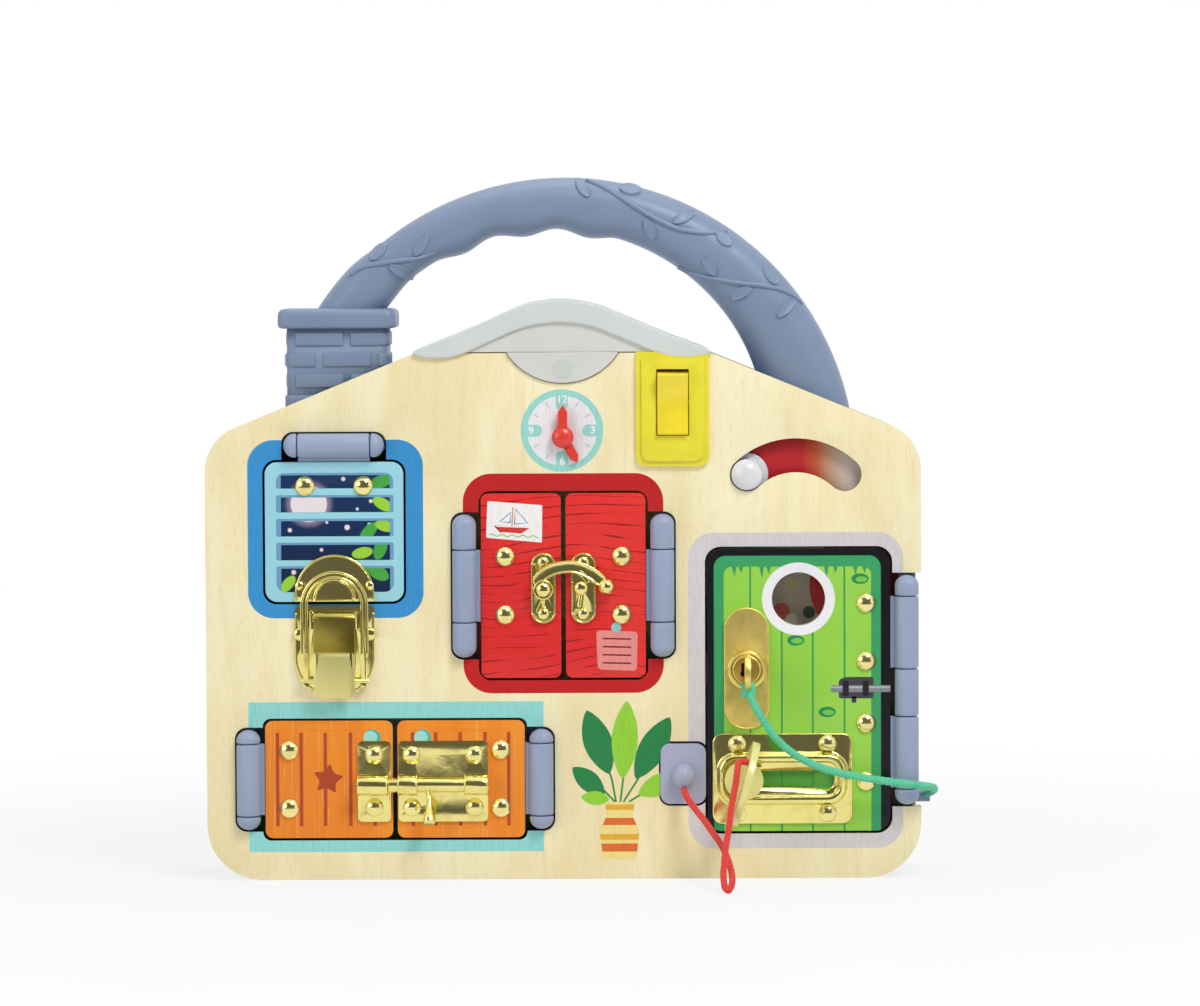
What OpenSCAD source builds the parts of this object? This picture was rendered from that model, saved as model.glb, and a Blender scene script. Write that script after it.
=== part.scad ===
// A house-shaped busy board: two plywood panels on a moulded frame with a carrying handle,
// and small doors, locks, latches and switches on the front.
// The front faces -Y, the board stands on its bottom edge, and Z = 0 is the surface under it.

/* [Board] */
// Width of the wooden panels
board_w = 300; // [292:1:330]
// Height of the flat top of the roof
ridge_h = 221; // [216:0.5:226]
// Height where the sides meet the roof slopes
eaves_h = 185; // [182:0.5:190]
// Width of the flat at the top of the roof
ridge_w = 124; // [120:1:132]
// Radius of the two bottom corners
foot_r = 23; // [15:1:30]
// Radius of the two shoulders
shoulder_r = 20; // [10:1:28]
// Thickness of the front and back panels
panel_t = 6; // [5:0.5:8]
// Depth of the moulded frame between the panels
core_d = 40; // [36:1:60]
// Wall of the moulded frame
core_wall = 3; // [2:0.2:3.4]
// How far the moulded frame stays inside the panels' edge
core_inset = 2; // [1:0.2:2.4]
// Thickness of the picture board behind the doors
picture_t = 3; // [2:0.5:4]
// How far the picture board lies behind the front face
picture_depth = 19; // [18:0.5:24]

/* [Handle] */
// Outer radius of the handle's arch
handle_r = 123; // [118:1:128]
// From the roof's flat top down to the centre of the arch
handle_drop = 49.3; // [47:0.1:51]
// Thickness of the grip at its left foot, seen from the front
grip_w = 20.5; // [18:0.5:24]
// How much thicker the grip is at its right foot
grip_swell = 12.5; // [6:0.5:14]
// Depth of the grip from front to back
grip_d = 32; // [26:1:36]
// Wall of the hollow grip
grip_wall = 3; // [2.4:0.2:4]
// Height of the finger bumps under the grip
finger_h = 2.6; // [1:0.2:3.4]
// Angle from one finger bump to the next
finger_pitch = 15.3; // [14:0.1:16]

/* [Chimney] */
// From the board's left side to the chimney's stack
chimney_in = 34; // [33:0.2:38]
// Width of the stack
chimney_w = 42.4; // [38:0.2:44]
// Depth of the stack
chimney_d = 36; // [34:0.5:38]
// Height of the cap's underside above the roof's flat top
cap_rise = 10.5; // [5:0.5:13]
// Thickness of the cap
cap_t = 8.3; // [6:0.1:9]
// How far the cap stands out past the stack
cap_lip = 3.6; // [2:0.2:5]
// Length of one brick
brick_w = 20.4; // [17:0.2:24]
// Height of one brick
brick_h = 6; // [5:0.2:7.4]
// Width of the joints between bricks
mortar = 2.8; // [1.5:0.1:3]
// How far the bricks stand out
brick_out = 0.8; // [0.4:0.1:1.2]

/* [Lamp] */
// Width of the frosted roof lamp
lamp_w = 125; // [120:1:130]
// Height of the lamp above the roof's flat top
lamp_h = 22.5; // [18:0.5:26]
// Wall of the lamp cover
lamp_wall = 2; // [1.5:0.1:3]
// How far the lamp stands out past the panels
lamp_out = 2; // [1:0.5:4]
// Radius of the half-round tab below the lamp
tab_r = 28; // [26:0.5:30]
// How far the tab reaches below the roof's flat top
tab_drop = 12.6; // [10:0.2:14]

/* [Clock] */
// From the roof's flat top down to the clock's centre
clock_drop = 35.2; // [31:0.2:37]
// Width of each hand
hand_w = 4; // [3:0.2:5]
// Length of the minute hand
minute_l = 13.6; // [11:0.2:15]
// Length of the hour hand
hour_l = 12.6; // [9:0.2:14]
// Radius of the hub
hub_r = 4.5; // [3.8:0.1:5.5]
// Direction of the hour hand, clockwise from 12
hour_angle = 150; // [0:15:345]

/* [Switch] */
// Centre of the switch across the board
switch_x = 46; // [44:0.5:48]
// Width of the yellow plate
switch_w = 30.6; // [28:0.2:33]
// Height of the yellow plate
switch_h = 45; // [42:0.2:46]
// How far the plate stands out
switch_t = 3; // [2:0.2:4]
// Width of the rocker
rocker_w = 12.8; // [10:0.2:15]
// Height of the rocker
rocker_h = 27; // [22:0.5:30]
// Rocker's tilt at rest
rocker_tilt = 7; // [4:0.5:9]

/* [Slider] */
// From the board's right side to the centre of the slider's arc
arc_in = 52.5; // [49:0.5:56]
// Height of the centre of the slider's arc
arc_z = 147.7; // [146:0.2:150]
// Radius of the slider's centre line
arc_r = 30.1; // [29:0.1:31]
// Half of the slider's angle
arc_half = 42.8; // [34:0.2:44]
// Width of the slot
arc_slot = 14.2; // [13:0.1:15]
// Diameter of the round knob
slider_d = 13; // [11:0.1:13.4]

/* [Hinges] */
// Radius of the hinge knuckles
knuckle_r = 5; // [4.5:0.1:5.2]
// Radius of the hinge pins
pin_r = 1.5; // [1:0.1:2]
// How far the hinge axis stands in front of the board
axis_out = 0.8; // [0.4:0.1:1.4]
// From a hinge axis to the door's edge
axis_gap = 7; // [6.6:0.1:7.6]
// Length of each moving knuckle
leaf_l = 30.5; // [28:0.5:30.5]
// Thickness of the leaf behind a door
leaf_t = 2; // [1.5:0.1:2.4]
// From a hinge axis to its leaf screws
leaf_screw = 17; // [15:0.2:18]
// Distance between the two screws of a leaf
screw_pitch = 24.4; // [20:0.2:25]
// Radius of the domed screw heads
dome_r = 4.15; // [3.4:0.05:4.6]
// Height of the domed screw heads
dome_h = 3; // [2:0.1:3.4]

/* [Doors] */
// Thickness of the doors
door_t = 5; // [4:0.2:5.6]
// Gap around the doors
door_gap = 1; // [0.8:0.1:1.4]
// From the board's left side to the centre of the window
window_in = 54.1; // [52:0.1:56]
// Centre height of the window
window_z = 146.4; // [145:0.2:148]
// Width of the window opening
window_w = 60; // [56:0.5:62]
// Height of the window opening
window_h = 60.6; // [59:0.2:61.4]
// Centre height of the red double door
red_z = 123.5; // [121:0.5:126]
// Width of the red door opening
red_w = 71; // [69:0.5:73]
// Height of the red door opening
red_h = 79.5; // [76:0.5:82]
// From the board's left side to the centre of the gates
gate_in = 79; // [77:0.5:80]
// Centre height of the gates
gate_z = 42.3; // [41:0.2:44]
// Width of the gate opening
gate_w = 111; // [109:0.5:112]
// Height of the gate opening
gate_h = 51.4; // [48:0.1:52]
// From the board's right side to the main hinge axis
main_axis = 6.1; // [6:0.1:6.6]
// Centre height of the main door
main_z = 79.2; // [78:0.2:81]
// Width of the main door opening
main_w = 78.6; // [77:0.2:79.4]
// Height of the main door opening
main_h = 120.8; // [118:0.5:122]
// Height of the round peephole
peep_z = 117.5; // [116:0.5:119]
// Radius of the round peephole
peep_r = 11.2; // [9:0.2:13]

/* [Toggle latch] */
// Width of the latch plates
latch_w = 33.4; // [32:0.2:36]
// Thickness of the brass plates
brass_t = 1.2; // [1:0.1:1.5]
// Height of the lever's pivot
lever_z = 110; // [108:0.5:111]
// Width of the lever
lever_w = 17.2; // [16:0.2:17.4]
// Height of the pins that carry the loop
loop_pin_z = 84; // [83:0.5:88]
// Inner width of the loop
loop_w = 21.9; // [21.6:0.1:23]
// Width of the loop's strap
loop_strap = 3.3; // [2.6:0.1:3.6]
// Height of the top of the loop
loop_top = 130.3; // [129.8:0.1:131.5]

/* [Hook and bolt] */
// Width of the hook's two plates
hook_w = 10.2; // [9:0.2:11]
// Height of the hook's two plates
hook_h = 29.5; // [27:0.5:32]
// Width of the hook's arm
arm_w = 3.8; // [3:0.1:4.2]
// Radius of the post under the hook
post_r = 2.4; // [1.8:0.1:2.8]
// Radius of the bolt's rod
rod_r = 3.1; // [2.4:0.1:3.2]
// Length of the bolt's rod
rod_l = 41; // [38:0.5:43]
// Width of the bolt's plate
bolt_w = 37.6; // [36:0.2:39]
// Height of the bolt's plate and its keeper
bolt_h = 34; // [31:0.5:36]

/* [Lock and chain] */
// Centre height of the lock
lock_z = 87.9; // [87:0.1:89]
// From the main door's left edge to the lock
lock_in = 16.4; // [15:0.2:18]
// Radius of the lock's plug
plug_r = 5; // [4:0.1:5.4]
// Radius of the lock's flange
lock_r = 8; // [7.4:0.1:8.6]
// Radius of the key's bow
bow_r = 7.5; // [6.5:0.1:7.8]
// Width of the chain plate
chain_w = 58.6; // [56:0.2:60]
// Height of the chain plate
chain_h = 38; // [36:0.2:40]
// Centre height of the chain plate
chain_z = 42; // [41:0.2:43]
// Travel of the knob along the chain plate
chain_run = 33; // [28:0.5:34]
// Width of the chain plate's slot
chain_slot = 7; // [6:0.1:7.6]
// Diameter of the yellow coin
coin_d = 36; // [30:0.5:37]
// Thickness of the coin
coin_t = 3; // [2:0.2:4]
// Tilt of the coin from upright
coin_tilt = 16; // [10:1:20]

/* [Cords] */
// Diameter of the red cord
red_cord_d = 2.6; // [2:0.1:3]
// Diameter of the green cord
green_cord_d = 3.1; // [2:0.1:3.6]

/* [Hidden] */
$fn = 48;

run_gap = 0.05;
loose_gap = 0.3;
front_y = -(core_d / 2 + panel_t);
back_y = -front_y;
roof_angle = atan((ridge_h - eaves_h) / ((board_w - ridge_w) / 2));
handle_z = ridge_h - handle_drop;
chimney_x = chimney_in - board_w / 2;
cap_z = ridge_h + cap_rise;
clock_z = ridge_h - clock_drop;
arc_x = board_w / 2 - arc_in;
window_x = window_in - board_w / 2;
gate_x = gate_in - board_w / 2;
main_axis_x = board_w / 2 - main_axis;
main_door_r = main_axis_x - axis_gap;
main_x = main_door_r + door_gap - main_w / 2;
lock_x = main_x - main_w / 2 + door_gap + lock_in;
red_axis = red_w / 2 - door_gap + axis_gap;
gate_axis = gate_w / 2 - door_gap + axis_gap;
window_axis_z = window_z + window_h / 2 - door_gap + axis_gap;
leaf_back = door_t + leaf_t;
web_half = 2.5;
foot_plate = 3;
foot_l = 10;
// How deep the back corner of a moving knuckle's web reaches as it turns
web_swing = norm([web_half, leaf_back + axis_out]) - axis_out;
rivet_r = 1;
plate_screw_r = 3.8;
rod_z = gate_z - 2.1;
rod_out = brass_t + loose_gap + rod_r;

// A knuckle list runs along the axis: fixed, moving, fixed, and so on.
short_hinge = [6, leaf_l, 6];
tall_hinge = [15, leaf_l, 15];
long_hinge = [7, leaf_l, 20, leaf_l, 9];
knuckle_gap = 0.4;
pocket_gap = 0.7;
pocket_r = 5;
// Radius that rounds the two outer ends of a row of knuckles
end_r = 4;

wood = "burlywood";
shell = [0.50, 0.58, 0.70];
brass = [0.80, 0.66, 0.28];

// ---- shared shapes ----

// The child's X, Y and Z become right, up and out of the front face.
module on_front(x, z, out = 0)
    translate([x, front_y - out, z])
        rotate([90, 0, 0])
            children();

// The child's X, Y and Z become left, up and out of the back face.
module on_back(x, z, out = 0)
    translate([x, back_y + out, z])
        rotate([90, 0, 180])
            children();

module round_rect(w, h, r) {
    square([w - 2 * r, h], center = true);
    square([w, h - 2 * r], center = true);
    for (sx = [-1, 1], sy = [-1, 1])
        translate([sx * (w / 2 - r), sy * (h / 2 - r)])
            circle(r);
}

module slab(w, h, r, t)
    linear_extrude(t)
        round_rect(w, h, r);

// A cut that runs through everything between two depths.
module through(from, to)
    translate([0, 0, from])
        linear_extrude(to - from)
            children();

module disc(r, from, to)
    translate([0, 0, from])
        cylinder(r = r, h = to - from);

// A low dome on the plane Z = 0.
module dome(r, h) {
    ball_r = (r * r + h * h) / (2 * h);
    intersection() {
        translate([0, 0, h - ball_r])
            sphere(ball_r, $fn = 64);
        cylinder(r = r, h = h);
    }
}

module rivet(r, h, shank_r, shank) {
    dome(r, h);
    disc(shank_r, -shank, 0.4);
}

function unit(v) = v / norm(v);

// Points of a rounded corner at b between its neighbours a and c.
function corner(a, b, c, r, n = 7) =
    let (
        u = unit(a - b),
        v = unit(c - b),
        half = acos(u * v) / 2,
        centre = b + unit(u + v) * r / sin(half),
        p = b + u * r / tan(half) - centre,
        q = b + v * r / tan(half) - centre,
        from = atan2(p[1], p[0]),
        turn = (atan2(q[1], q[0]) - from + 540) % 360 - 180
    )
    [for (i = [0:n]) centre + r * [cos(from + turn * i / n), sin(from + turn * i / n)]];

function rounded(points, radii) =
    let (n = len(points))
    [for (i = [0:n - 1]) each corner(points[(i + n - 1) % n], points[i], points[(i + 1) % n], radii[i])];

// Height of the roof slope, shifted inward, at a place across the board.
function roof(x, inset = 0) =
    eaves_h + (board_w / 2 - abs(x)) * tan(roof_angle) - inset / cos(roof_angle);

// The house outline, shifted inward, with its bottom edge at a height of its own.
function house(inset = 0, low = 0) =
    let (
        side = board_w / 2 - inset,
        top = ridge_h - inset,
        flat = board_w / 2 - (top - eaves_h + inset / cos(roof_angle)) / tan(roof_angle)
    )
    rounded(
        [
            [-side, low], [side, low], [side, roof(side, inset)],
            [flat, top], [-flat, top], [-side, roof(side, inset)]
        ],
        [foot_r - inset, foot_r - inset, shoulder_r - inset, 6, 6, shoulder_r - inset]
    );

module house_slab(inset, t)
    linear_extrude(t)
        polygon(house(inset));

// ---- hinges, drawn with the axis on Y and the door toward +X ----

function start(spans, i) = i == 0 ? 0 : start(spans, i - 1) + spans[i - 1];
function span_from(spans, i) = start(spans, i) - start(spans, len(spans)) / 2;
function span_mid(spans, i) = span_from(spans, i) + spans[i] / 2;
function hinge_l(spans) = start(spans, len(spans));

module window_hinge_place()
    on_front(window_x, window_axis_z)
        rotate([0, 0, -90])
            children();

module red_hinge_place(side)
    on_front(side * red_axis, red_z)
        scale_side(-side)
            children();

module gate_hinge_place(side)
    on_front(gate_x + side * gate_axis, gate_z)
        scale_side(-side)
            children();

module main_hinge_place()
    on_front(main_axis_x, main_z)
        scale_side(-1)
            children();

module scale_side(side)
    if (side < 0)
        mirror([1, 0, 0])
            children();
    else
        children();

module knuckle(spans, i) {
    length = spans[i] - knuckle_gap;
    translate([0, span_from(spans, i) + knuckle_gap / 2, axis_out])
        rotate([-90, 0, 0])
            if (i == 0)
                end_knuckle(length);
            else if (i == len(spans) - 1)
                translate([0, 0, length])
                    mirror([0, 0, 1])
                        end_knuckle(length);
            else
                cylinder(r = knuckle_r, h = length);
}

// A knuckle whose end at Z = 0 is rounded.
module end_knuckle(length)
    rotate_extrude() {
        translate([0, end_r])
            square([knuckle_r, length - end_r]);
        square([knuckle_r - end_r, length]);
        intersection() {
            translate([knuckle_r - end_r, end_r])
                circle(end_r);
            square([knuckle_r, end_r + 0.5]);
        }
    }

// How far a web stops short of the knuckle's end, where that end is round.
function web_in(spans, i, last) = i == last ? end_r / 2 : knuckle_gap / 2;

module pin_hole(spans, r)
    translate([0, -hinge_l(spans) / 2 - 1, axis_out])
        rotate([-90, 0, 0])
            cylinder(r = r, h = hinge_l(spans) + 2);

module hinge_pin(spans)
    translate([0, -hinge_l(spans) / 2 + 0.6, axis_out])
        rotate([-90, 0, 0])
            cylinder(r = pin_r, h = hinge_l(spans) - 1.2);

// The cut in the front panel around the knuckles.
module hinge_pocket(spans)
    through(-panel_t - 1, 1) {
        round_rect(2 * (knuckle_r + pocket_gap), hinge_l(spans) + 2 * pocket_gap, pocket_r);
        translate([0, -hinge_l(spans) / 2 - pocket_gap])
            square([axis_gap, hinge_l(spans) + 2 * pocket_gap]);
    }

// The fixed knuckles stand on a foot behind the front panel.
module hinge_base(spans, edge = false) {
    from = edge ? core_inset + core_wall + loose_gap - main_axis : -foot_l;
    web_from = max(from, -web_half);
    difference() {
        union() {
            for (i = [0:2:len(spans) - 1]) {
                knuckle(spans, i);
                low = web_in(spans, i, 0);
                high = web_in(spans, i, len(spans) - 1);
                translate([-web_half, span_from(spans, i) + low, -panel_t])
                    cube([2 * web_half, spans[i] - low - high, panel_t]);
                translate([web_from, span_from(spans, i) + knuckle_gap / 2, -panel_t - foot_plate])
                    cube([web_half - web_from, spans[i] - knuckle_gap, foot_plate]);
            }
            translate([from, -hinge_l(spans) / 2, -panel_t - 2 * foot_plate])
                cube([web_half - from, hinge_l(spans), foot_plate]);
            if (!edge)
                translate([-foot_l, -hinge_l(spans) / 2, -panel_t - foot_plate])
                    cube([foot_l - knuckle_r - pocket_gap, hinge_l(spans), foot_plate]);
        }
        pin_hole(spans, pin_r + run_gap);
    }
}

// The moving knuckles carry a leaf that lies behind the door.
module hinge_leaf(spans)
    difference() {
        for (i = [1:2:len(spans) - 1]) {
            knuckle(spans, i);
            translate([-web_half, span_from(spans, i) + knuckle_gap / 2, -leaf_back])
                cube([web_half + axis_gap, spans[i] - knuckle_gap, leaf_back]);
            translate([0, span_from(spans, i) + knuckle_gap / 2, -leaf_back])
                cube([leaf_screw + 5.5, spans[i] - knuckle_gap, leaf_t]);
        }
        pin_hole(spans, pin_r + run_gap);
        leaf_screws(spans)
            disc(pin_r + run_gap, -leaf_back - 1, 1);
    }

module leaf_screws(spans)
    for (i = [1:2:len(spans) - 1], s = [-1, 1])
        translate([leaf_screw, span_mid(spans, i) + s * screw_pitch / 2, 0])
            children();

module dome_screw()
    rivet(dome_r, dome_h, pin_r, leaf_back);

// The plain wooden door, from its hinge side, with its screw holes.
module door_blank(spans, w, h, r)
    difference() {
        translate([axis_gap + w / 2, 0, -door_t])
            slab(w, h, r, door_t);
        leaf_screws(spans)
            disc(pin_r + run_gap, -door_t - 1, 1);
    }

// ---- board ----

module openings_2d() {
    translate([window_x, window_z])
        round_rect(window_w, window_h, 5.8);
    translate([0, red_z])
        round_rect(red_w, red_h, 5);
    translate([gate_x, gate_z])
        round_rect(gate_w, gate_h, 3.4);
    translate([main_x, main_z])
        round_rect(main_w, main_h, 6.7);
}

// The band that the slider runs in.
module arc_band(width)
    translate([arc_x, arc_z]) {
        intersection() {
            difference() {
                circle(arc_r + width / 2, $fn = 96);
                circle(arc_r - width / 2, $fn = 96);
            }
            polygon([
                [0, 0],
                2 * arc_r * [-sin(arc_half), cos(arc_half)],
                [0, 3 * arc_r],
                2 * arc_r * [sin(arc_half), cos(arc_half)]
            ]);
        }
        for (s = [-1, 1])
            translate(arc_r * [s * sin(arc_half), cos(arc_half)])
                circle(width / 2);
    }

slider_lip = 3;
slider_pocket = 3.5;

module front_panel()
    color(wood)
        difference() {
            on_front(0, 0, -panel_t)
                house_slab(0, panel_t);
            on_front(0, 0) {
                through(-panel_t - 1, 1)
                    openings_2d();
                through(-panel_t - 1, 1)
                    arc_band(arc_slot);
                through(-panel_t - 1, -slider_lip)
                    arc_band(arc_slot + 2 * slider_pocket);
                through(-panel_t - 1, 1)
                    lamp_tab(tab_r + loose_gap);
                through(-panel_t - 1, 1)
                    switch_cut(loose_gap);
                translate([0, clock_z, 0])
                    disc(pin_r + run_gap, -panel_t - 1, 1);
                through(-panel_t - 1, 1)
                    block_2d(loose_gap);
            }
            window_hinge_place()
                hinge_pocket(short_hinge);
            for (side = [-1, 1]) {
                red_hinge_place(side)
                    hinge_pocket(tall_hinge);
                gate_hinge_place(side)
                    hinge_pocket(short_hinge);
            }
            main_hinge_place()
                hinge_pocket(long_hinge);
            main_hinge_place()
                through(-panel_t - 1, 1)
                    translate([-main_axis - 2, -hinge_l(long_hinge) / 2 - pocket_gap])
                        square([main_axis, hinge_l(long_hinge) + 2 * pocket_gap]);
            latch_rivet_places()
                disc(rivet_r, -panel_t - 1, 1);
        }

boss_r = 4.5;
screw_r = 1.6;
boss_side = board_w / 2 - 16;
boss_places = [
    [-boss_side, 12], [0, 12], [boss_side - 2, 12], [-boss_side, eaves_h - 3],
    [-44, 178], [62, 178], [boss_side, eaves_h - 13], [22, 70],
    [-red_axis - foot_l - boss_r - 2, red_z - 30]
];

module core_frame()
    color(shell)
        difference() {
            union() {
                on_front(0, 0, -panel_t - core_d)
                    linear_extrude(core_d)
                        difference() {
                            polygon(house(core_inset));
                            polygon(house(core_inset + core_wall, core_wall));
                        }
                for (p = boss_places)
                    on_front(p[0], p[1])
                        disc(boss_r, -panel_t - core_d, -panel_t);
                // moulded eye for the green cord on the right side
                translate([board_w / 2 - core_inset - 0.5, front_y + eye_depth, eye_z])
                    rotate([0, 90, 0])
                        cylinder(r = 3.4, h = core_inset + 5.5);
            }
            // room for the moving knuckles of the main hinge
            main_hinge_place()
                through(-web_swing - loose_gap, -panel_t + 1)
                    translate([-web_half - loose_gap, -hinge_l(long_hinge) / 2 - pocket_gap])
                        square([axis_gap, hinge_l(long_hinge) + 2 * pocket_gap]);
            for (p = boss_places)
                on_back(p[0], p[1])
                    disc(screw_r, -panel_t - 16, 1);
            // way for the lamp's light and wires
            on_front(0, ridge_h)
                translate([0, 0, -panel_t - core_d / 2])
                    cube([30, 4 * core_wall, 12], center = true);
        }

module picture_board()
    color("lightgray")
        on_front(0, 0, -picture_depth - picture_t)
            linear_extrude(picture_t)
                difference() {
                    polygon(house(core_inset + core_wall + loose_gap, core_wall + loose_gap));
                    for (p = boss_places)
                        translate(p)
                            circle(boss_r + loose_gap);
                    translate([0, ridge_h - 18])
                        square([170, 60], center = true);
                }

back_boxed = [0, 112];
box_w = 96;
box_h = 62;
box_d = 22;
box_lip = 4;
box_screw = 23.4;
lid_w = box_w - 2 * box_lip - 2 * loose_gap;
lid_h = box_h - 2 * box_lip - 2 * loose_gap;
lid_t = 2.5;
box_screw_r = 1.2;

module back_panel()
    color(wood)
        on_back(0, 0, -panel_t)
            linear_extrude(panel_t)
                difference() {
                    polygon(house(0));
                    translate(back_boxed)
                        round_rect(box_w - 2 * box_lip, box_h - 2 * box_lip, 4);
                    for (p = boss_places)
                        translate([-p[0], p[1]])
                            circle(screw_r + run_gap);
                    translate([0, ridge_h - 5])
                        circle(2.5);
                }

module board_fasteners()
    color("silver") {
        for (p = boss_places)
            on_back(p[0], p[1])
                rivet(3.6, 2.2, screw_r - run_gap, panel_t + 12);
        on_back(back_boxed[0], back_boxed[1] + box_screw)
            rivet(2.6, 1.4, box_screw_r, 5);
        latch_rivet_places()
            translate([0, 0, brass_t])
                rivet(1.9, 1, rivet_r - run_gap, panel_t);
    }

// ---- battery box behind the back panel ----

module battery_box()
    color("dimgray")
        on_back(back_boxed[0], back_boxed[1])
            difference() {
                union() {
                    translate([0, 0, -panel_t - box_d])
                        slab(lid_w, lid_h, 4, box_d + panel_t - lid_t);
                    translate([0, 0, -panel_t - 2])
                        slab(box_w, box_h, 6, 2);
                }
                translate([0, 0, -panel_t - box_d + 2])
                    slab(box_w - 14, box_h - 22, 2, box_d + panel_t);
                translate([0, box_screw, -8])
                    disc(box_screw_r + run_gap, -6, 12);
            }

module battery_door()
    color(shell)
        on_back(back_boxed[0], back_boxed[1])
            difference() {
                translate([0, 0, -lid_t])
                    slab(lid_w, lid_h, 4, lid_t);
                translate([0, box_screw, 0])
                    disc(box_screw_r + run_gap, -3, 1);
            }

cell_r = 7.1;
cell_l = 50;

module batteries()
    color("goldenrod")
        for (i = [-1, 1])
            on_back(back_boxed[0], back_boxed[1] + i * (cell_r + 0.6))
                translate([-cell_l / 2, 0, -panel_t - box_d + 2 + cell_r]) {
                    rotate([0, 90, 0])
                        cylinder(r = cell_r, h = cell_l);
                    translate([cell_l, 0, 0])
                        rotate([0, 90, 0])
                            cylinder(r = 2.6, h = 1.2);
                }

// ---- chimney and handle ----

chimney_mid = chimney_x + chimney_w / 2;
cap_top = cap_z + cap_t;

// The stack's front outline, cut by the roof of the moulded frame or a little above it.
module stack_2d(grow = 0, above = 0)
    polygon([
        [chimney_x - grow, roof(chimney_x - grow, core_inset) + above],
        [chimney_x + chimney_w + grow, roof(chimney_x + chimney_w + grow, core_inset) + above],
        [chimney_x + chimney_w + grow, cap_z],
        [chimney_x - grow, cap_z]
    ]);

stack_r = 4;
first_brick = 3.7;

// Every other course is shifted by half a brick.
module bricks_2d()
    intersection() {
        stack_2d(brick_out + 1, 0.4);
        for (row = [0:7], col = [0:2])
            translate([
                chimney_x + first_brick + (col - row % 2 / 2) * (brick_w + mortar) + brick_w / 2,
                cap_z - mortar / 2 - brick_h / 2 - row * (brick_h + mortar)
            ])
                round_rect(brick_w, brick_h, 0.8);
    }

// A front outline run through the stack's depth, with the stack's round upright edges.
module stack_body(grow)
    intersection() {
        on_front(0, 0, -panel_t - (core_d + chimney_d) / 2 - grow - 1)
            linear_extrude(chimney_d + 2 * grow + 2)
                children();
        translate([chimney_mid, 0, eaves_h - 20])
            slab(chimney_w + 2 * grow, chimney_d + 2 * grow, stack_r + grow, cap_z - eaves_h + 20);
    }

module chimney()
    color(shell)
        difference() {
            union() {
                stack_body(0)
                    stack_2d(1);
                stack_body(brick_out)
                    bricks_2d();
                translate([chimney_mid, 0, cap_z])
                    slab(chimney_w + 2 * cap_lip, chimney_d + 2 * cap_lip, stack_r + 0.5, cap_t);
            }
            on_front(0, 0, -panel_t - (core_d + chimney_d) / 2 + 2.5)
                translate([0, -3, 0])
                    linear_extrude(chimney_d - 5)
                        intersection() {
                            translate([chimney_mid - chimney_w / 2 + 2.5, 0])
                                square([chimney_w - 5, cap_z]);
                            stack_2d();
                        }
        }

// Angles run clockwise from straight up.
arch_x = 1;
arch_from = -60;
arch_to = 86;
arch_steps = 44;

function finger(a) =
    a < -32.4 || a > 13.5 ? 0 : 0.5 + 0.5 * cos(360 * (a + 24.75) / finger_pitch);
function grip_in(a) =
    handle_r - grip_w - grip_swell * pow((a + 45) / 105, 2) * (a > -45 ? 1 : 0) + 1 - finger_h * finger(a);
function ring(a, wall, sides = 20) =
    let (
        outer = handle_r - wall,
        inner = grip_in(a) + wall,
        mid = (outer + inner) / 2,
        half = (outer - inner) / 2,
        deep = grip_d / 2 - wall
    )
    [for (i = [0:sides - 1])
        let (
            t = 360 * i / sides,
            bulge = function (v) sign(v) * pow(abs(v), 0.8),
            r = mid + half * bulge(cos(t))
        )
        [arch_x + r * sin(a), deep * bulge(sin(t)), handle_z + r * cos(a)]];

// A closed skin over rings of points.
module skin(rings) {
    n = len(rings[0]);
    m = len(rings);
    polyhedron(
        [for (r = rings) each r],
        [
            [for (i = [0:n - 1]) n - 1 - i],
            for (k = [0:m - 2], i = [0:n - 1])
                [k * n + i, k * n + (i + 1) % n, (k + 1) * n + (i + 1) % n, (k + 1) * n + i],
            [for (i = [0:n - 1]) (m - 1) * n + i]
        ]
    );
}

module arch(wall)
    skin([for (k = [0:arch_steps])
        ring(arch_from + (arch_to - arch_from) * k / arch_steps, wall)]);

module handle()
    color(shell)
        difference() {
            arch(0);
            arch(grip_wall);
            on_front(0, 0, -100)
                house_slab(core_inset, 200);
            translate([chimney_mid - 60, -50, cap_top - 60])
                cube([120 - 10, 100, 60]);
        }

// ---- lamp ----

module lamp_tab(r)
    translate([0, ridge_h - tab_drop + tab_r])
        circle(r, $fn = 96);

function bell(x) = 0.5 + 0.5 * cos(180 * min(1, abs(x)));
function lamp_line(w, h, low) =
    [for (i = [-16:16]) [i * w / 32, ridge_h + low + h * pow(bell(i / 16), 0.8)]];

lamp_d = 2 * back_y + 2 * lamp_out;
lamp_skirt = 2.3;

module lamp_cover()
    color([0.85, 0.9, 0.92])
        difference() {
            union() {
                on_front(0, 0, lamp_out - lamp_d)
                    linear_extrude(lamp_d)
                        polygon(concat(
                            lamp_line(lamp_w, lamp_h - 1.6, 1.6),
                            [[lamp_w / 2, ridge_h - lamp_skirt], [-lamp_w / 2, ridge_h - lamp_skirt]]
                        ));
                on_front(0, 0, -panel_t)
                    linear_extrude(panel_t + lamp_out)
                        intersection() {
                            lamp_tab(tab_r);
                            translate([-40, ridge_h - 20])
                                square([80, 21]);
                        }
            }
            on_front(0, 0, -loose_gap - 2 * back_y)
                linear_extrude(2 * back_y + 2 * loose_gap)
                    polygon(concat(
                        lamp_line(lamp_w - 3 * lamp_wall, lamp_h - lamp_wall - loose_gap, loose_gap),
                        [
                            [lamp_w / 2 + 1, ridge_h + loose_gap], [lamp_w / 2 + 1, ridge_h - 30],
                            [-lamp_w / 2 - 1, ridge_h - 30], [-lamp_w / 2 - 1, ridge_h + loose_gap]
                        ]
                    ));
        }

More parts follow.
